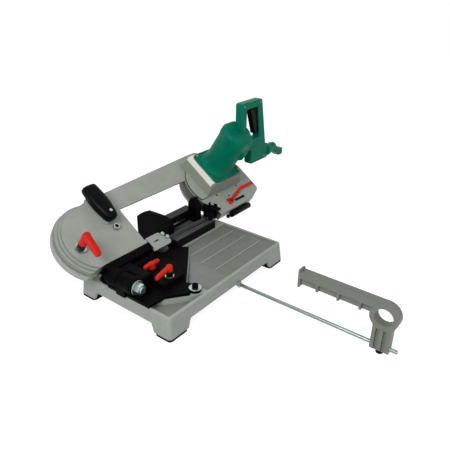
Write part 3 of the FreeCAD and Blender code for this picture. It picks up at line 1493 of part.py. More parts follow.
def gearbox_housing():
    low = (d.gearbox_left, d.gearbox_front, d.bow_face)
    size = (d.gearbox_length, d.gearbox_depth, d.drum_height + d.gearbox_height)
    block = wedge(low, size, (d.gearbox_draft, d.gearbox_draft), (d.gearbox_right_draft, d.gearbox_draft))
    seatings = rod("Z", (drive_u, d.wheel_radius, zero), d.drum_radius + d.gap / 2, drum_top())
    wall = d.gearbox_wall + d.gearbox_draft
    room = box((d.gearbox_left + wall, d.gearbox_front + wall, zero),
               (d.gearbox_length - wall * 2 - d.gearbox_right_draft, d.gearbox_depth - wall * 2,
                gearbox_top() - d.gearbox_wall))
    shaft = rod("Z", (d.motor_u, d.motor_v, zero), d.bearing_radius + d.fit_clearance, d.base_width)
    draft = d.gearbox_draft
    lip = box((d.gearbox_left + draft, d.gearbox_front + draft, gearbox_top()),
              (d.gearbox_length - draft - d.gearbox_right_draft, d.plate_lip, d.spacer_thickness))
    return node("gearbox_housing", fuse(cut(block, seatings, room, shaft), lip), bow=True)


def gearbox_plate():
    draft = d.gearbox_draft
    low = (d.gearbox_left + draft, d.gearbox_front + draft + d.plate_lip, gearbox_top())
    size = (d.gearbox_length - draft - d.gearbox_right_draft, d.gearbox_depth - draft * 2 - d.plate_lip,
            d.spacer_thickness)
    hole = rod("Z", (d.motor_u, d.motor_v, zero), d.bearing_radius + d.fit_clearance, d.base_width)
    return node("gearbox_plate", cut(box(low, size), hole), bow=True)


def motor_profile_top():
    return motor_start() + d.motor_length


def motor_shell(extra):
    """Outside of the motor and its cap, larger all round by the given amount."""
    neck = d.flange_thickness * 2
    top = d.motor_length
    return seat(turned(((zero, zero), (d.motor_foot_radius + extra, zero),
                        (d.motor_waist_radius + extra, neck), (d.motor_radius + extra, top), (zero, top))),
                (d.motor_u, d.motor_v, motor_start()))


def motor_housing():
    start = flange_start()
    flange = prism("XY", rectangle(d.flange_left, d.flange_front, d.flange_length, d.flange_depth), start,
                   d.flange_thickness, (((0, 1, 2, 3), d.flange_corner),))
    bore = rod("Z", (d.motor_u, d.motor_v, start - d.overrun), d.motor_radius - d.motor_wall,
               d.motor_length + d.base_width)
    return node("motor_housing", cut(fuse(flange, motor_shell(zero)), bore), bow=True)


def rectangle(left, front, length, depth):
    return ((left, front), (left + length, front), (left + length, front + depth), (left, front + depth))


def motor_cap():
    top = motor_profile_top()
    cap = seat(turned(((zero, zero), (d.motor_radius, zero), (d.motor_radius, d.cap_height / 2),
                       (d.cap_top_radius, d.cap_height), (zero, d.cap_height))), (d.motor_u, d.motor_v, top))
    pocket = rod("Z", (d.motor_u, d.motor_v, top - d.overrun), d.bearing_radius + d.fit_clearance,
                 d.bearing_width + d.overrun)
    return node("motor_cap", cut(cap, pocket), bow=True)


def shaft_bearings():
    """Bearings of the drive shaft and the motor shaft."""
    drive = ring("Z", (drive_u, d.wheel_radius, d.bow_face - d.bow_wall), d.bearing_radius,
                 d.shaft_radius + d.fit_clearance, d.bearing_width)
    front = ring("Z", (d.motor_u, d.motor_v, gearbox_top()), d.bearing_radius,
                 d.rotor_shaft_radius + d.fit_clearance, d.bearing_width)
    rear = ring("Z", (d.motor_u, d.motor_v, motor_profile_top()), d.bearing_radius,
                d.rotor_shaft_radius + d.fit_clearance, d.bearing_width)
    return node("shaft_bearings", group(drive, front, rear), bow=True)


def rotor():
    """Motor shaft with pinion, fan, wound core and commutator."""
    u = d.motor_u
    v = d.motor_v
    across = d.motor_u - drive_u
    along = d.motor_v - d.wheel_radius
    pinion = root(across * across + along * along) - d.gear_radius - d.gap
    low = gear_start()
    shaft_top = motor_profile_top() + d.bearing_width
    fan = motor_start() + d.fan_width
    core = fan + d.fan_width * 2
    brush = core + d.rotor_length
    return node("rotor", fuse(
        rod("Z", (u, v, low), d.rotor_shaft_radius, shaft_top - low),
        rod("Z", (u, v, low), pinion, d.gear_width),
        rod("Z", (u, v, fan), d.fan_radius, d.fan_width),
        rod("Z", (u, v, core), d.rotor_radius, d.rotor_length),
        rod("Z", (u, v, brush), d.commutator_radius, d.commutator_length)), bow=True)


def stator():
    core = motor_start() + d.fan_width * 3
    outer = d.motor_radius - d.motor_wall - d.fit_clearance
    inner = d.rotor_radius + d.gap * 2
    return node("stator", ring("Z", (d.motor_u, d.motor_v, core), outer, inner, d.rotor_length), bow=True)


def housing_screws():
    """Screws of the motor flange and of the handle's front half."""
    inset = d.flange_screw_inset
    spots = [(u, v) for u in (d.flange_left + inset, d.flange_left + d.flange_length - inset)
             for v in (d.flange_front + inset, d.flange_front + d.flange_depth - inset)]
    heads = on_bow(group(*[rod("Z", (u, v, motor_start()), d.flange_screw_radius, d.flange_screw_radius)
                           for u, v in spots]))
    front = d.handle_y - d.handle_width / 2
    depth = d.handle_width / 2 - d.overrun
    shanks = [rod("Y", (x, front + d.gap, z), d.handle_screw_radius - d.fit_clearance, depth - d.gap * 2)
              for x, z in handle_spots()]
    return node("housing_screws", group(heads, *shanks))


def handle_body():
    """D-shaped handle in one piece, before it is split into halves."""
    top = d.handle_top
    left = d.handle_left
    outer = d.grip_outer + d.grip_lean
    outline = ((left, d.handle_foot), (left, top), (d.grip_outer, top), (outer, d.handle_arm_bottom),
               (d.handle_block_right, d.handle_arm_bottom), (d.handle_block_right, d.handle_block_bottom),
               (d.handle_block_left, d.handle_block_bottom), (d.handle_block_left, d.handle_arm_bottom),
               (d.handle_arm_left, d.handle_arm_bottom), (d.handle_arm_left, d.handle_foot))
    front = d.handle_y - d.handle_width / 2
    body = prism("XZ", outline, front, d.handle_width, (((1, 2, 4, 5, 6), d.handle_round),))
    sides = (front.number, (front + d.handle_width).number)
    body = round_edges(body, lambda edge: on_side(edge, sides), d.handle_edge)
    inner = d.grip_inner + d.grip_lean / 2
    gap_left = left + d.handle_post
    hole = prism("XZ", ((gap_left, d.handle_arm_top), (gap_left, top - d.handle_bar),
                        (d.grip_inner, top - d.handle_bar), (inner, d.handle_arm_top)),
                 front - d.overrun, d.handle_width + d.overrun * 2, (((1, 2, 3), d.handle_round / 2),))
    cap = rod("Z", (d.motor_u, d.motor_v, motor_profile_top() - d.overrun), d.motor_radius + d.gap,
              d.cap_height + d.overrun + d.gap)
    motor = on_bow(fuse(motor_shell(d.gap), cap))
    pocket_depth = d.trigger_depth + d.trigger_travel + d.switch_depth + d.overrun * 2
    pocket_low = d.trigger_bottom - d.gap
    pocket_top = d.trigger_bottom + d.trigger_height + d.gap
    low_edge = grip_line(pocket_low) - d.overrun
    top_edge = grip_line(pocket_top) - d.overrun
    outline = ((low_edge, pocket_low), (top_edge, pocket_top), (top_edge + pocket_depth, pocket_top),
               (low_edge + pocket_depth, pocket_low))
    pocket = prism("XZ", outline, d.handle_y - d.trigger_width / 2 - d.gap, d.trigger_width + d.gap * 2)
    gland = rod("X", (d.handle_block_right - d.gland_ring, d.handle_y, d.gland_z),
                d.gland_radius + d.fit_clearance, d.gland_ring * 2)
    holes = [rod("Y", (x, front - d.overrun, z), d.handle_screw_radius, d.handle_width / 2)
             for x, z in handle_spots()]
    return cut(body, hole, motor, pocket, gland, *holes)


def grip_line(z):
    """Inner edge of the leaning rear grip at a height."""
    high = d.handle_top - d.handle_bar
    return d.grip_inner + d.grip_lean / 2 * (high - z) / (high - d.handle_arm_top)


def on_side(edge, sides):
    near = d.fit_clearance.number
    limits = edge.BoundBox
    return limits.YLength < near and any(abs(limits.YMin - y) < near for y in sides)


def handle_spots():
    post = d.handle_left + d.handle_post / 2
    high = d.handle_top - d.handle_bar / 2
    return ((post, high), (d.grip_outer - d.handle_bar / 2, high),
            (d.handle_block_right - d.handle_bar, d.handle_block_bottom + d.handle_bar / 2))


def handle_halves():
    whole = handle_body()
    low_z = d.handle_block_bottom - d.overrun
    span = (d.handle_block_right - d.handle_left + d.handle_bar * 4, d.handle_width,
            d.handle_top - low_z + d.overrun)
    start = d.handle_left - d.handle_bar
    front = common(whole, box((start, d.handle_y - d.handle_width, low_z), span))
    rear = common(whole, box((start, d.handle_y, low_z), span))
    node("handle_front_half", front)
    node("handle_rear_half", rear)


def trigger():
    """Long trigger that stands out furthest at its upper end."""
    low = d.trigger_bottom
    high = d.trigger_bottom + d.trigger_height
    back = d.trigger_depth - d.gap
    outline = ((grip_line(low) - d.trigger_low_proud, low), (grip_line(high) - d.trigger_proud, high),
               (grip_line(high) + back, high), (grip_line(low) + back, low))
    body = prism("XZ", outline, d.handle_y - d.trigger_width / 2, d.trigger_width,
                 (((0, 1), d.trigger_depth / 2),))
    return node("trigger", body)


def switch_block():
    low = d.trigger_bottom
    high = d.trigger_bottom + d.trigger_height / 2
    start = d.trigger_depth + d.trigger_travel
    end = start + d.switch_depth
    outline = ((grip_line(low) + start, low), (grip_line(high) + start, high), (grip_line(high) + end, high),
               (grip_line(low) + end, low))
    return node("switch_block", prism("XZ", outline, d.handle_y - d.trigger_width / 2, d.trigger_width))


def cord_gland():
    """Inlet stub on the handle's lower block, with a ring and a hook; no cord is fitted."""
    face = d.handle_block_right
    inside = face - d.gland_ring + d.gap
    stub = rod("X", (inside, d.handle_y, d.gland_z), d.gland_radius, face - inside + d.gland_length)
    collar = rod("X", (face, d.handle_y, d.gland_z), d.gland_ring_radius, d.gland_ring)
    end = face + d.gland_length
    low = d.gland_z - d.gland_radius * 5 / 2
    far = end + d.gland_hook * 2
    near = end - d.gland_hook / 2
    bend = end + d.gland_hook
    under = d.gland_z - d.gland_radius
    outline = ((near, under), (bend, low), (far, low), (far, under), (bend, under),
               (end, d.gland_z + d.gland_radius / 2), (near, d.gland_z + d.gland_radius))
    hook = prism("XZ", outline, d.handle_y - d.gland_hook / 2, d.gland_hook)
    return node("cord_gland", fuse(stub, collar, hook))


stand = (base_casting, rubber_feet, swivel_pin, vise_bed, fixed_jaw, moving_jaw, vise_rail, vise_screw,
         vise_handwheel, stop_rod, stop_rod_nuts, stop_arm, stop_arm_bolt)
turret = (turret_casting, mitre_lock_bolt, turret_studs, stop_screws, clamp_lever, wing_knob)
bow = (bow_casting, back_cover, saw_blade, hinge_arm, hinge_bolt, hinge_nut, left_guide_bracket,
       left_guide_block, right_guide_block, guide_pads, guard_tube, guide_lever, grip_base, front_grip,
       tracking_nut, bow_bolts, idler_parts, tension_parts, drive_parts)
motor = (gearbox_housing, gearbox_plate, motor_housing, motor_cap, shaft_bearings, rotor, stator,
         housing_screws, handle_halves, trigger, switch_block, cord_gland)
for build in stand + turret + bow + motor:
    build()

doc.recompute()
for obj in doc.Objects:
    if "Invalid" in obj.State or "Error" in obj.State:
        raise RuntimeError(f"{obj.Label} ({obj.TypeId}) failed")
for obj in nodes:
    if obj.Shape.isNull() or not obj.Shape.isValid() or not obj.Shape.Solids:
        raise RuntimeError(f"{obj.Label} has no valid solid")

os.makedirs("parts", exist_ok=True)
for obj in nodes:
    obj.Shape.exportStep(f"parts/{obj.Label}.step")
    print(obj.Label, len(obj.Shape.Solids), round(obj.Shape.Volume))
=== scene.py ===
import bpy
import bmesh
import json
import math
from mathutils import Matrix, Vector


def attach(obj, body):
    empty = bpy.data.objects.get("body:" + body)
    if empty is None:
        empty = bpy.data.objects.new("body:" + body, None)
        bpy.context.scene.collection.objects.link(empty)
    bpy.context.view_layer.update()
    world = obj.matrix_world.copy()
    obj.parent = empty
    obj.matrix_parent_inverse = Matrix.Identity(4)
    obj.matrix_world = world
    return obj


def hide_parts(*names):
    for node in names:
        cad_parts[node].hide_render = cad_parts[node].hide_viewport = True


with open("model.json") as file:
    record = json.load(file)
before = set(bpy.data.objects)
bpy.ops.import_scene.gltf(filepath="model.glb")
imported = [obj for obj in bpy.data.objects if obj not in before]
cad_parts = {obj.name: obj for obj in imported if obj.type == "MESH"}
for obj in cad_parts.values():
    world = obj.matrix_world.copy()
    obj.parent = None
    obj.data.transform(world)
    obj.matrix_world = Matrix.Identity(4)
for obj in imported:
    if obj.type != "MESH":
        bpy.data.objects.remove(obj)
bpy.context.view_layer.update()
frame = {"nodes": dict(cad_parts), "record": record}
NODES = frame["nodes"]

# Sizes are written in millimetres, as in the part's source, and turned into metres here.
MM = 0.001
TILT = math.radians(35)
BLADE_Y = 68
BLADE_Z = 88.5
V_AXIS = Vector((0, math.cos(TILT), math.sin(TILT)))
N_AXIS = Vector((0, -math.sin(TILT), math.cos(TILT)))
X_AXIS = Vector((1, 0, 0))
Y_AXIS = Vector((0, 1, 0))
Z_AXIS = Vector((0, 0, 1))


def at(x, y, z):
    return Vector((x, y, z)) * MM


def bow(u, v, n):
    """A point given in the bow's own frame."""
    return at(u, BLADE_Y, BLADE_Z) + V_AXIS * (v * MM) + N_AXIS * (n * MM)


# Materials

def linear(red, green, blue):
    """Scene-linear colour from display values of 0 to 255."""
    channels = (value / 255 for value in (red, green, blue))
    return tuple(c / 12.92 if c < 11 / 255 else ((c + 0.055) / 1.055) ** 2.4 for c in channels) + (1,)


# Widths over which painted limits and spots fade out, in metres
LIMIT_BLUR = 0.0002
SPOT_BLUR = 0.0003


class Finish:
    """A node material under construction."""

    def __init__(self, name):
        self.material = bpy.data.materials.new(name)
        self.material.use_nodes = True
        self.nodes = self.material.node_tree.nodes
        self.links = self.material.node_tree.links
        self.shader = self.nodes["Principled BSDF"]
        coordinates = self.nodes.new("ShaderNodeTexCoord")
        self.place = coordinates.outputs["Object"]
        self.facing = coordinates.outputs["Normal"]

    def noise(self, scale, detail=2.0, stretch=None):
        texture = self.nodes.new("ShaderNodeTexNoise")
        texture.inputs["Scale"].default_value = scale
        texture.inputs["Detail"].default_value = detail
        self.links.new(self.stretched(stretch), texture.inputs["Vector"])
        return texture.outputs["Fac"]

    def stretched(self, stretch):
        if not stretch:
            return self.place
        mapping = self.nodes.new("ShaderNodeMapping")
        mapping.inputs["Scale"].default_value = stretch
        self.links.new(self.place, mapping.inputs["Vector"])
        return mapping.outputs["Vector"]

    def cells(self, scale):
        texture = self.nodes.new("ShaderNodeTexVoronoi")
        texture.inputs["Scale"].default_value = scale
        self.links.new(self.place, texture.inputs["Vector"])
        return texture.outputs["Distance"]

    def ramp(self, value, low, high, first, second):
        ramp = self.nodes.new("ShaderNodeValToRGB")
        ramp.color_ramp.elements[0].position = low
        ramp.color_ramp.elements[1].position = high
        ramp.color_ramp.elements[0].color = first
        ramp.color_ramp.elements[1].color = second
        self.links.new(value, ramp.inputs["Fac"])
        return ramp.outputs["Color"]

    def mix(self, factor, first, second):
        mix = self.nodes.new("ShaderNodeMix")
        mix.data_type = "RGBA"
        self.links.new(factor, mix.inputs["Factor"])
        for socket, colour in ((mix.inputs["A"], first), (mix.inputs["B"], second)):
            if isinstance(colour, tuple):
                socket.default_value = colour
            else:
                self.links.new(colour, socket)
        return mix.outputs["Result"]

    def spread(self, value, low, high):
        spread = self.nodes.new("ShaderNodeMapRange")
        spread.inputs["To Min"].default_value = low
        spread.inputs["To Max"].default_value = high
        self.links.new(value, spread.inputs["Value"])
        return spread.outputs["Result"]

    def rise(self, value, low, high):
        """0 where a value is at low, 1 at high, held beyond both."""
        rise = self.nodes.new("ShaderNodeMapRange")
        rise.inputs["From Min"].default_value = low
        rise.inputs["From Max"].default_value = high
        self.links.new(value, rise.inputs["Value"])
        return rise.outputs["Result"]

    def step(self, vector, axis, low, high):
        """The rise of the vector's part along X, Y or Z."""
        parts = self.nodes.new("ShaderNodeSeparateXYZ")
        self.links.new(vector, parts.inputs["Vector"])
        return self.rise(parts.outputs[axis], low, high)

    def along(self, vector, direction, low, high):
        """The rise of the vector's part along any direction."""
        return self.rise(self.measured("DOT_PRODUCT", vector, direction), low, high)

    def measured(self, operation, vector, fixed):
        """A number from a vector and a fixed one."""
        measure = self.nodes.new("ShaderNodeVectorMath")
        measure.operation = operation
        self.links.new(vector, measure.inputs[0])
        measure.inputs[1].default_value = fixed
        return measure.outputs["Value"]

    def inside(self, direction, low, high):
        """1 where the place's part along a direction lies between two limits."""
        return self.both(self.along(self.place, direction, low - LIMIT_BLUR, low),
                         self.along(self.place, direction, high + LIMIT_BLUR, high))

    def near(self, point, reach):
        """1 within a reach of a point."""
        return self.rise(self.measured("DISTANCE", self.place, point), reach + SPOT_BLUR, reach)

    def both(self, first, second):
        product = self.nodes.new("ShaderNodeMath")
        product.operation = "MULTIPLY"
        self.links.new(first, product.inputs[0])
        self.links.new(second, product.inputs[1])
        return product.outputs[0]

    def bump(self, height, strength, distance):
        bump = self.nodes.new("ShaderNodeBump")
        bump.inputs["Strength"].default_value = strength
        bump.inputs["Distance"].default_value = distance
        self.links.new(height, bump.inputs["Height"])
        self.links.new(bump.outputs["Normal"], self.shader.inputs["Normal"])

    def set(self, **values):
        for name, value in values.items():
            self.shader.inputs[name.replace("_", " ")].default_value = value

    def drive(self, name, value):
        self.links.new(value, self.shader.inputs[name])


def shade(colour, factor):
    return tuple(min(1, c * factor) for c in colour[:3]) + (1,)


def paint(name, colour, rough, patchy, grain, bump, specular=0.5, dust=None, worn=None, deck_and_highlight=None, painted_wall_shade=None,
          recess_shade=None):
    """Painted or moulded surface: soft patches of lighter and darker colour and a fine grain.

    worn is (colour, height) of the faces that look up from a height on. deck_and_highlight is (colour,
    height):
    the up-facing faces below that height take the deck colour, and those above it the paint colour lightened
    as a painted highlight on the raised ribs and rims. painted_wall_shade is (colour, place): painted shade
    on the walls that look to -X from a place on; it also darkens the other walls of the bow as painted shade.
    recess_shade is (colour, limits along three directions): painted shade inside a slot. All are in metres.
    """
    finish = Finish(name)
    patches = finish.ramp(finish.noise(38, 4), 0.3, 0.7, shade(colour, 1 - patchy), shade(colour, 1 + patchy))
    specks = finish.ramp(finish.noise(grain * 0.6, 3), 0.62, 0.74, (0, 0, 0, 1), (1, 1, 1, 1))
    coat = finish.mix(specks, patches, dust or shade(colour, 1 - patchy * 1.5))
    if worn:
        tint, height = worn
        rubbed = finish.ramp(finish.noise(160, 4, (1, 6, 6)), 0.35, 0.7, shade(tint, 0.75), shade(tint, 1.1))
        top = finish.both(finish.step(finish.facing, "Z", 0.9, 0.99),
                          finish.step(finish.place, "Z", height - 0.001, height))
        coat = finish.mix(top, coat, rubbed)
    if deck_and_highlight:
        tint, height = deck_and_highlight
        floor = finish.ramp(finish.noise(60, 3), 0.3, 0.7, shade(tint, 0.94), shade(tint, 1.06))
        raised_highlight = finish.step(finish.place, "Z", height, height + 0.0006)
        # Painted highlight: up-facing faces above the deck height, the raised ribs and rims, take the paint
        # colour 1.2 times lighter.
        top = finish.mix(raised_highlight, floor, shade(colour, 1.2))
        coat = finish.mix(finish.step(finish.facing, "Z", 0.6, 0.9), coat, top)
    # Painted shade: the bow's side walls, those not facing along N, are darkened to 0.62 of the paint, and
    # walls that look to -X from a place on take the darker shade colour.
    if painted_wall_shade:
        tint, place = painted_wall_shade
        left_wall_shade = finish.both(finish.step(finish.facing, "X", -0.25, -0.5),
                           finish.step(finish.place, "X", place, place + 0.02))
        side_wall_shade = finish.along(finish.facing, N_AXIS, 0.92, 0.6)
        coat = finish.mix(side_wall_shade, coat, shade(colour, 0.62))
        coat = finish.mix(left_wall_shade, coat, tint)
    if recess_shade:
        tint, (across, up, deep) = recess_shade
        # Painted shade: the inside of the slot, within three pairs of limits, takes a near-black colour.
        slot = finish.both(finish.inside(*across), finish.both(finish.inside(*up), finish.inside(*deep)))
        coat = finish.mix(slot, coat, tint)
    finish.drive("Base Color", coat)
    finish.drive("Roughness", finish.spread(finish.noise(90, 3), rough - 0.07, rough + 0.07))
    finish.bump(finish.noise(grain, 2), bump, 0.0004)
    finish.set(Specular_IOR_Level=specular)
    return finish.material


def metal(name, colour, rough, scale, streak=None, patchy=0.15, spot=None):
    """Bare or plated metal with cell-like patches, or brushed along one way.

    spot is (colour, point, reach) of a place in another colour, real paint or painted shade, in metres.
    """
    finish = Finish(name)
    pattern = finish.noise(scale, 3, streak) if streak else finish.cells(scale)
    coat = finish.ramp(pattern, 0.2, 0.8, shade(colour, 1 - patchy), shade(colour, 1 + patchy))
    if spot:
        tint, point, reach = spot
        coat = finish.mix(finish.near(point, reach), coat, tint)
    finish.drive("Base Color", coat)
    finish.drive("Roughness", finish.spread(pattern, rough - 0.06, rough + 0.1))
    finish.bump(finish.noise(scale * 2, 2, streak), 0.12, 0.0002)
    finish.set(Metallic=1.0)
    return finish.material


GRAY = linear(147, 153, 145)
BLACK = linear(4, 4, 5)
DUST = linear(12, 12, 12)
ZINC = linear(164, 177, 173)
FINISHES = {
    "gray_casting": paint("gray_casting_paint", GRAY, 0.45, 0.05, 700, 0.16, 0.28),
    "black_casting": paint("black_cast_iron", BLACK, 0.55, 0.25, 520, 0.25, 0.03, linear(9, 9, 9)),
    "green_housing": paint("green_moulded", linear(0, 106, 83), 0.38, 0.07, 1300, 0.1, 0.06),
    "red_plastic": paint("red_moulded", linear(192, 30, 22), 0.4, 0.06, 1100, 0.1, 0.12),
    "red_metal": paint("red_paint", linear(200, 34, 28), 0.42, 0.08, 800, 0.12, 0.16),
    "black_plastic": paint("black_moulded", linear(3, 6, 4), 0.32, 0.2, 1200, 0.12, 0.06),
    "gray_plastic": paint("gray_moulded", linear(110, 115, 107), 0.5, 0.06, 1000, 0.1, 0.25),
    "cream_plate": paint("cream_plate_paint", linear(238, 234, 222), 0.45, 0.04, 700, 0.1, 0.3),
    "rubber": paint("foot_rubber", linear(10, 10, 10), 0.75, 0.2, 900, 0.25, 0.1),
    "zinc": metal("zinc_plate", ZINC, 0.3, 420),
    "steel": metal("machined_steel", linear(176, 178, 176), 0.3, 600, (1, 1, 8)),
    "blade_steel": metal("blade_band_steel", linear(150, 153, 156), 0.28, 500, (8, 1, 1)),
    "wheel_metal": metal("turned_aluminium", linear(205, 206, 208), 0.32, 500, (1, 6, 6)),
    "core_metal": metal("core_laminate", linear(120, 105, 90), 0.45, 900, (1, 1, 12)),
}
BED_TOP = 0.0813
RAIL_TOP = 0.1118
DECK_TOP = 0.0554
# X from which walls looking to -X take painted shade, in metres.
WALL_SHADE_FROM = 0.1
# Limits of the plate slots whose insides take painted shade.
PLATE_SLOTS = ((X_AXIS, 0.2, 0.335), (V_AXIS, bow(0, -8, 0).dot(V_AXIS), bow(0, 45, 0).dot(V_AXIS)),
               (N_AXIS, bow(0, 0, 16).dot(N_AXIS), bow(0, 0, 24).dot(N_AXIS)))
LEVER_BOLT = (bow(256, 3, 27.8), 0.014)
# Painted shade: a near-black spot in the tracking nut's bore.
NUT_BORE_SHADE = (bow(-125, 80, 29.5), 0.0066)
BED = paint("worn_bed", BLACK, 0.5, 0.25, 520, 0.2, 0.1, DUST, worn=(linear(74, 76, 73), BED_TOP))
RAIL = paint("worn_rail", BLACK, 0.5, 0.25, 520, 0.2, 0.1, DUST, worn=(linear(58, 60, 58), RAIL_TOP))
# The deck's up-facing faces take a darker colour, and the raised ribs and rims above it a painted highlight.
TRAY = paint("tray_paint", linear(139, 146, 138), 0.45, 0.05, 700, 0.16, 0.28,
             deck_and_highlight=(linear(114, 119, 112), DECK_TOP))
# The bow's walls take painted shade, and the insides of the plate slots a near-black painted shade.
BOW = paint("bow_paint", GRAY, 0.42, 0.05, 700, 0.16, 0.3, painted_wall_shade=(linear(74, 78, 72), WALL_SHADE_FROM),
            recess_shade=(linear(16, 16, 15), PLATE_SLOTS))
BOLTS = metal("bolt_zinc_plate", ZINC, 0.3, 420, spot=(linear(150, 26, 20), *LEVER_BOLT))
# The tracking nut's zinc carries a near-black spot of painted shade at its bore.
NUT = metal("nut_zinc_with_bore_shade", ZINC, 0.3, 420, spot=(linear(6, 6, 6), *NUT_BORE_SHADE))
# Painted shade: the gearbox takes a darker copy of the casting gray for its shaded front faces.
GEARBOX_SHADED = paint("gearbox_shaded_paint", linear(130, 135, 126), 0.45, 0.05, 700, 0.16, 0.28)
ROD = metal("rod_zinc_plate", linear(126, 139, 135), 0.36, 420)
BRASS = metal("brass_plate", linear(176, 150, 96), 0.32, 420)
OILED = paint("oiled_black_steel", linear(10, 10, 10), 0.35, 0.15, 600, 0.1, 0.2)
SPECIAL = {"vise_bed": BED, "vise_rail": RAIL, "base_casting": TRAY, "bow_casting": BOW,
           "bow_bolts": BOLTS, "tracking_nut": NUT, "gearbox_housing": GEARBOX_SHADED, "stop_rod": ROD,
           "housing_screws": BRASS, "tension_cam_shaft": OILED}


# Mesh building

def ring(centre, side, up, half_side, half_up, power=2.0, count=40, flats=0.0):
    """Points of a rounded loop round a centre; a higher power is squarer, flats give it six soft sides."""
    points = []
    for index in range(count):
        angle = 2 * math.pi * index / count
        swell = 1 - flats + flats * math.cos(6 * angle)
        x, y = math.cos(angle) * swell, math.sin(angle) * swell
        x = math.copysign(abs(x) ** (2 / power), x)
        y = math.copysign(abs(y) ** (2 / power), y)
        points.append(centre + side * (x * half_side * MM) + up * (y * half_up * MM))
    return points


def loft(mesh, rings):
    """Closed shell through loops of equal count, with both ends capped."""
    loops = [[mesh.verts.new(point) for point in loop] for loop in rings]
    count = len(loops[0])
    for first, second in zip(loops, loops[1:]):
        for index in range(count):
            following = (index + 1) % count
            mesh.faces.new((first[index], first[following], second[following], second[index]))
    mesh.faces.new(list(reversed(loops[0])))
    mesh.faces.new(loops[-1])


def lathe(mesh, centre, axis, profile, count=48):
    """Closed turned shell from (distance along the axis, radius) pairs."""
    side = axis.orthogonal().normalized()
    up = axis.cross(side)
    loft(mesh, [ring(centre + axis * (along * MM), side, up, radius, radius, 2, count)
                for along, radius in profile])


def evaluated(thing):
    """The object's mesh with its modifiers applied."""
    graph = bpy.context.evaluated_depsgraph_get()
    return bpy.data.meshes.new_from_object(thing.evaluated_get(graph))


def piece(name, mesh, body, slot, stands_for=(), smooth=35, melt=None, relax=6, material=None):
    """Turns a mesh into a piece that rides on a body; melt joins its shells with soft fillets."""
    data = bpy.data.meshes.new(name)
    bmesh.ops.recalc_face_normals(mesh, faces=mesh.faces)
    mesh.to_mesh(data)
    mesh.free()
    thing = bpy.data.objects.new(name, data)
    bpy.context.scene.collection.objects.link(thing)
    if melt:
        remesh = thing.modifiers.new("melt", "REMESH")
        remesh.mode = "VOXEL"
        remesh.voxel_size = melt * MM
        relaxing = thing.modifiers.new("relax", "SMOOTH")
        relaxing.iterations = relax
        relaxing.factor = 0.5
        thing.data = evaluated(thing)
        thing.modifiers.clear()
    thing.data.materials.clear()
    thing.data.materials.append(material or FINISHES[slot])
    thing.data.shade_smooth()
    if not melt:
        thing.data.set_sharp_from_angle(angle=math.radians(smooth))
    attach(thing, body)
    if stands_for:
        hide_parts(*stands_for)
    return thing


# CAD nodes keep their shape; their finish comes from the slot, and their edges are broken a little.

EDGE_BREAKS = {"gray_casting": 1.2, "black_casting": 1.0, "gray_plastic": 0.9, "green_housing": 0.8,
               "zinc": 0.5, "cream_plate": 1.0, "rubber": 0.8, "red_metal": 0.4, "black_plastic": 0.6}
WELD_REACH = 0.00001
SHARP_EDGE = math.radians(38)


def dress():
    for entry in frame["record"]["subparts"]:
        thing = NODES[entry["node"]]
        slot = entry["material_slot"]
        thing.data.materials.clear()
        thing.data.materials.append(SPECIAL.get(entry["node"], FINISHES[slot]))
        weld = thing.modifiers.new("weld", "WELD")
        weld.merge_threshold = WELD_REACH
        if slot in EDGE_BREAKS:
            edges = thing.modifiers.new("edges", "BEVEL")
            edges.width = EDGE_BREAKS[slot] * MM
            edges.segments = 2
            edges.limit_method = "ANGLE"
            edges.angle_limit = SHARP_EDGE
            edges.use_clamp_overlap = True
            edges.harden_normals = True


dress()


# Motor: a moulded barrel on a square flange, with a flattened head

MOTOR_U = 261
MOTOR_V = 106
FLANGE_U = 264
FLANGE_V = 107
FLANGE_N = 70.5
FLANGE_HALVES = (59, 54)
FLANGE_RINGS = ((0, 0.6), (1, 0), (7, 0), (8, 0.8))
# (n, half width, half depth, squareness, flats)
BARREL_RINGS = ((70.5, 47.5, 46, 2.5, 0), (78.5, 48.6, 46.8, 2.5, 0), (82, 47, 46, 2.3, 0),
                (88, 45, 44.4, 2.1, 0), (98, 43.7, 43.3, 2, 0), (112, 43.2, 43, 2, 0),
                (135, 43.6, 43.4, 2, 0), (160, 44.3, 44, 2, 0),
                (178, 44.6, 44.6, 2, 0.008), (184, 46.6, 46.6, 2, 0.03), (202, 47, 47, 2, 0.045),
                (207.4, 45.6, 45.6, 2, 0.045), (210.8, 42.8, 42.8, 2, 0.045), (212, 40, 40, 2, 0.045))
# The arm to the handle: (x, z, half depth, half height)
ARM_Y = 39
ARM_RINGS = ((262, 270, 22, 30), (282, 276, 21, 27), (292, 281, 18.5, 23), (300, 284, 15.5, 19),
             (308, 286, 13.4, 16.4), (316, 287, 12.9, 15.8))


def motor():
    mesh = bmesh.new()
    loft(mesh, [ring(bow(MOTOR_U, MOTOR_V, n), X_AXIS, V_AXIS, a, b, power, 96, flats)
                for n, a, b, power, flats in BARREL_RINGS])
    half_u, half_v = FLANGE_HALVES
    loft(mesh, [ring(bow(FLANGE_U, FLANGE_V, FLANGE_N + up), X_AXIS, V_AXIS,
                     half_u - inset, half_v - inset, 11, 64) for up, inset in FLANGE_RINGS])
    loft(mesh, [ring(at(x, ARM_Y, z), Y_AXIS, Z_AXIS, a, b, 3.2, 40) for x, z, a, b in ARM_RINGS])
    piece("motor_shell", mesh, "bow", "green_housing", ("motor_housing", "motor_cap"), melt=1.2, relax=4)


motor()


# Front grip: a tapering hand piece, thickest in its middle

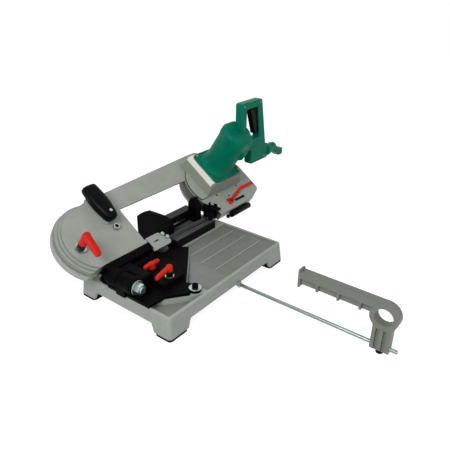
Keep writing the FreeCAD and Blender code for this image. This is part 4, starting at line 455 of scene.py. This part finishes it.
GRIP_U = -132
GRIP_N = 48.5
GRIP_RINGS = ((93.2, 7, 6), (94.2, 11, 9.6), (97.5, 14.6, 12.6), (105, 17.4, 14), (120, 20.4, 14.8),
              (135, 22.8, 15), (147, 23.8, 15), (162, 23.4, 15), (178, 22, 14.8), (189, 20.9, 14.4),
              (194.5, 20, 13.4), (197, 18.6, 12), (197.9, 16.6, 10.2))


def front_grip():
    mesh = bmesh.new()
    loft(mesh, [ring(bow(GRIP_U, v, GRIP_N), X_AXIS, N_AXIS, a, b, 2.8, 48) for v, a, b in GRIP_RINGS])
    piece("front_grip_body", mesh, "bow", "black_plastic", ("front_grip",), smooth=80)


front_grip()


# Clamping levers and the wing knob

def tension_lever():
    mesh = bmesh.new()
    u, v, low, top = -239, 70, 45.9, 84.9
    lathe(mesh, bow(u, v, 0), N_AXIS, ((low, 9.4), (low + 1.5, 10.4), (low + 14, 9.8), (top - 10, 9.9),
                                       (top - 2.5, 9.4), (top, 6)))
    arm = ((8.6, 4.6, 4.4), (6.4, 7.8, 6.4), (-4, 8.8, 7.3), (-20, 8.8, 7.3), (-38, 8.7, 7.2),
           (-47, 8.3, 6.9), (-51, 6.4, 5.4), (-51.9, 4, 3.6))
    drop = 9 / 52
    loft(mesh, [ring(bow(u, v + along, top - 7.5 + min(0, along) * drop), X_AXIS, N_AXIS, a, b, 3)
                for along, a, b in arm])
    piece("tension_lever_body", mesh, "tension_lever", "red_plastic", ("tension_lever",), melt=0.7)


def clamp_lever():
    mesh = bmesh.new()
    x, y, low, top = -117, -50, 92.8, 109.8
    lathe(mesh, at(x, y, 0), Z_AXIS, ((low, 7.8), (low + 1.5, 8.8), (low + 10, 8.4), (top - 2.5, 7.6),
                                      (top, 4.5)))
    arm = ((7.5, 4, 3.5), (4, 5.6, 5.4), (-8, 6, 6), (-28, 5.9, 5.8), (-40, 5.6, 5.5), (-44, 4.4, 4.2),
           (-45, 2.6, 2.4))
    drop = 11 / 45
    loft(mesh, [ring(at(x + along, y, top - 6.2 + min(0, along) * drop), Y_AXIS, Z_AXIS, a, b, 2.6)
                for along, a, b in arm])
    piece("clamp_lever_body", mesh, "swivel_lever", "red_plastic", ("swivel_clamp_lever",), melt=0.7)


def wing_knob():
    mesh = bmesh.new()
    x, y, low = -118, 8, 78.8
    lathe(mesh, at(x, y, 0), Z_AXIS, ((low, 9.6), (low + 1, 10.6), (low + 6, 10.2), (low + 14.5, 8),
                                      (low + 16.5, 6.4)))
    wings = ((-25, 2.6, 2.6), (-23.6, 4.4, 4.4), (-16, 5.9, 5.2), (-8, 6.3, 5.4), (8, 6.3, 5.4),
             (16, 5.9, 5.2), (23.6, 4.4, 4.4), (25, 2.6, 2.6))
    loft(mesh, [ring(at(x + along, y, low + 11.4), Y_AXIS, Z_AXIS, a, b, 2.6) for along, a, b in wings])
    piece("wing_knob_body", mesh, "wing_knob", "red_plastic", ("wing_knob",), melt=0.7)


tension_lever()
clamp_lever()
wing_knob()


# Blade: the endless band with its teeth

WHEEL_RADIUS = 80
IDLER_U = -177
DRIVE_U = 239
TOOTH_PITCH = 2.2
TOOTH_DEPTH = 0.9
TOOTH_LEAN = 0.8
HALF_THICK = 0.3
HALF_WIDE = 6.5
# (u, twist in degrees): the guides turn the band upright between them
TWISTS = ((-177, 0), (-104.5, 17.5), (-32, 35), (188, 35), (213.5, 17.5), (239, 0))


def twist_at(u):
    for (u0, t0), (u1, t1) in zip(TWISTS, TWISTS[1:]):
        if u <= u1:
            return math.radians(t0 + (t1 - t0) * (u - u0) / (u1 - u0))
    return 0.0


def blade_path(along):
    """(u, v, direction through the band, direction across it) at a distance along the loop."""
    run = DRIVE_U - IDLER_U
    turn = math.pi * WHEEL_RADIUS
    if along < run:
        u = IDLER_U + along
        angle = -twist_at(u)
        thick = V_AXIS * math.cos(angle) + N_AXIS * math.sin(angle)
        wide = N_AXIS * math.cos(angle) - V_AXIS * math.sin(angle)
        return u, 0, -thick, wide
    along -= run
    if along < turn:
        angle = along / WHEEL_RADIUS - math.pi / 2
        out = X_AXIS * math.cos(angle) + V_AXIS * math.sin(angle)
        return DRIVE_U + WHEEL_RADIUS * math.cos(angle), WHEEL_RADIUS * (1 + math.sin(angle)), out, N_AXIS
    along -= turn
    if along < run:
        return DRIVE_U - along, 2 * WHEEL_RADIUS, V_AXIS, N_AXIS
    along -= run
    angle = along / WHEEL_RADIUS + math.pi / 2
    out = X_AXIS * math.cos(angle) + V_AXIS * math.sin(angle)
    return IDLER_U + WHEEL_RADIUS * math.cos(angle), WHEEL_RADIUS * (1 + math.sin(angle)), out, N_AXIS


def blade():
    mesh = bmesh.new()
    length = 2 * (DRIVE_U - IDLER_U) + 2 * math.pi * WHEEL_RADIUS
    teeth = round(length / TOOTH_PITCH)
    loops = []
    for index in range(teeth * 2):
        tip = index % 2
        share = index // 2 + (TOOTH_LEAN if tip else 0)
        u, v, out, wide = blade_path(length * share / teeth)
        low = -HALF_WIDE if tip else -HALF_WIDE + TOOTH_DEPTH
        corners = [bow(u, v, 0) + out * (side * HALF_THICK * MM) + wide * (edge * MM) for side, edge in
                   ((-1, low), (1, low), (1, HALF_WIDE), (-1, HALF_WIDE))]
        loops.append([mesh.verts.new(corner) for corner in corners])
    for first, second in zip(loops, loops[1:] + loops[:1]):
        for index in range(4):
            following = (index + 1) % 4
            mesh.faces.new((first[index], first[following], second[following], second[index]))
    piece("saw_band", mesh, "bow", "blade_steel", ("saw_blade",), smooth=20)


blade()


# Studio

WORLD_LIGHT = 0.34
WORLD_SEEN = 1.04
FLOOR_HALF = 40.0
FLOOR_COLOUR = (0.86, 0.86, 0.86, 1)
FLOOR_GLOW = 1.45
FLOOR_GLOW_SHARE = 0.6


def area_light(name, place, target, size, watts):
    lamp = bpy.data.lights.new(name, "AREA")
    lamp.shape = "DISK"
    lamp.size = size
    lamp.energy = watts
    thing = bpy.data.objects.new(name, lamp)
    thing.location = place
    thing.rotation_euler = (Vector(target) - Vector(place)).to_track_quat("-Z", "Y").to_euler()
    bpy.context.scene.collection.objects.link(thing)


def seen_directly(nodes, links):
    """1 for camera, glossy and transmission rays, 0 for the light that falls on the object."""
    path = nodes.new("ShaderNodeLightPath")
    total = path.outputs["Is Camera Ray"]
    for name in ("Is Glossy Ray", "Is Transmission Ray"):
        add = nodes.new("ShaderNodeMath")
        add.operation = "ADD"
        add.use_clamp = True
        links.new(total, add.inputs[0])
        links.new(path.outputs[name], add.inputs[1])
        total = add.outputs[0]
    return total


def studio():
    scene = bpy.context.scene
    scene.view_settings.view_transform = "Standard"
    world = bpy.data.worlds.new("studio")
    scene.world = world
    world.use_nodes = True
    nodes = world.node_tree.nodes
    links = world.node_tree.links
    background = nodes["Background"]
    background.inputs["Color"].default_value = (1, 1, 1, 1)
    strength = nodes.new("ShaderNodeMapRange")
    strength.inputs["To Min"].default_value = WORLD_LIGHT
    strength.inputs["To Max"].default_value = WORLD_SEEN
    links.new(seen_directly(nodes, links), strength.inputs["Value"])
    links.new(strength.outputs["Result"], background.inputs["Strength"])

    data = bpy.data.meshes.new("floor")
    corners = [(x * FLOOR_HALF, y * FLOOR_HALF, 0) for x, y in ((-1, -1), (1, -1), (1, 1), (-1, 1))]
    data.from_pydata(corners, [], [(0, 1, 2, 3)])
    floor = bpy.data.objects.new("floor", data)
    scene.collection.objects.link(floor)
    material = bpy.data.materials.new("pale_floor")
    material.use_nodes = True
    nodes = material.node_tree.nodes
    links = material.node_tree.links
    shader = nodes["Principled BSDF"]
    shader.inputs["Base Color"].default_value = FLOOR_COLOUR
    shader.inputs["Roughness"].default_value = 0.9
    glow = nodes.new("ShaderNodeEmission")
    glow.inputs["Strength"].default_value = FLOOR_GLOW
    share = nodes.new("ShaderNodeMapRange")
    share.inputs["To Max"].default_value = FLOOR_GLOW_SHARE
    links.new(seen_directly(nodes, links), share.inputs["Value"])
    mix = nodes.new("ShaderNodeMixShader")
    links.new(share.outputs["Result"], mix.inputs["Fac"])
    links.new(shader.outputs["BSDF"], mix.inputs[1])
    links.new(glow.outputs["Emission"], mix.inputs[2])
    links.new(mix.outputs["Shader"], nodes["Material Output"].inputs["Surface"])
    data.materials.append(material)
    area_light("key", (-1.6, -0.5, 1.6), (0, 0, 0.15), 1.0, 32)
    area_light("fill", (-0.2, -1.9, 1.0), (0.05, -0.1, 0.15), 1.4, 8)
    area_light("rim", (0.6, 1.5, 1.9), (0, 0, 0.2), 1.4, 9)


# Camera, worked out from the photo's frame
FOCAL_PIXELS = 511.33
FRAME_PIXELS = 450
YAW = math.radians(-52.39)
PITCH = math.radians(26.98)
ROLL = math.radians(0.65)
CAMERA_PLACE = at(-842.5, -771.2, 731.8)


def camera():
    lens = bpy.data.cameras.new("camera")
    lens.sensor_fit = "HORIZONTAL"
    lens.lens = FOCAL_PIXELS / FRAME_PIXELS * lens.sensor_width
    lens.clip_start = 0.01
    thing = bpy.data.objects.new("camera", lens)
    forward = Vector((-math.sin(YAW) * math.cos(PITCH), math.cos(YAW) * math.cos(PITCH), -math.sin(PITCH)))
    right = Vector((math.cos(YAW), math.sin(YAW), 0))
    up = right.cross(forward)
    side = right * math.cos(ROLL) + up * math.sin(ROLL)
    top = up * math.cos(ROLL) - right * math.sin(ROLL)
    turn = Matrix((side, top, -forward)).transposed().to_4x4()
    thing.matrix_world = Matrix.Translation(CAMERA_PLACE) @ turn
    bpy.context.scene.collection.objects.link(thing)
    bpy.context.scene.camera = thing


studio()
camera()
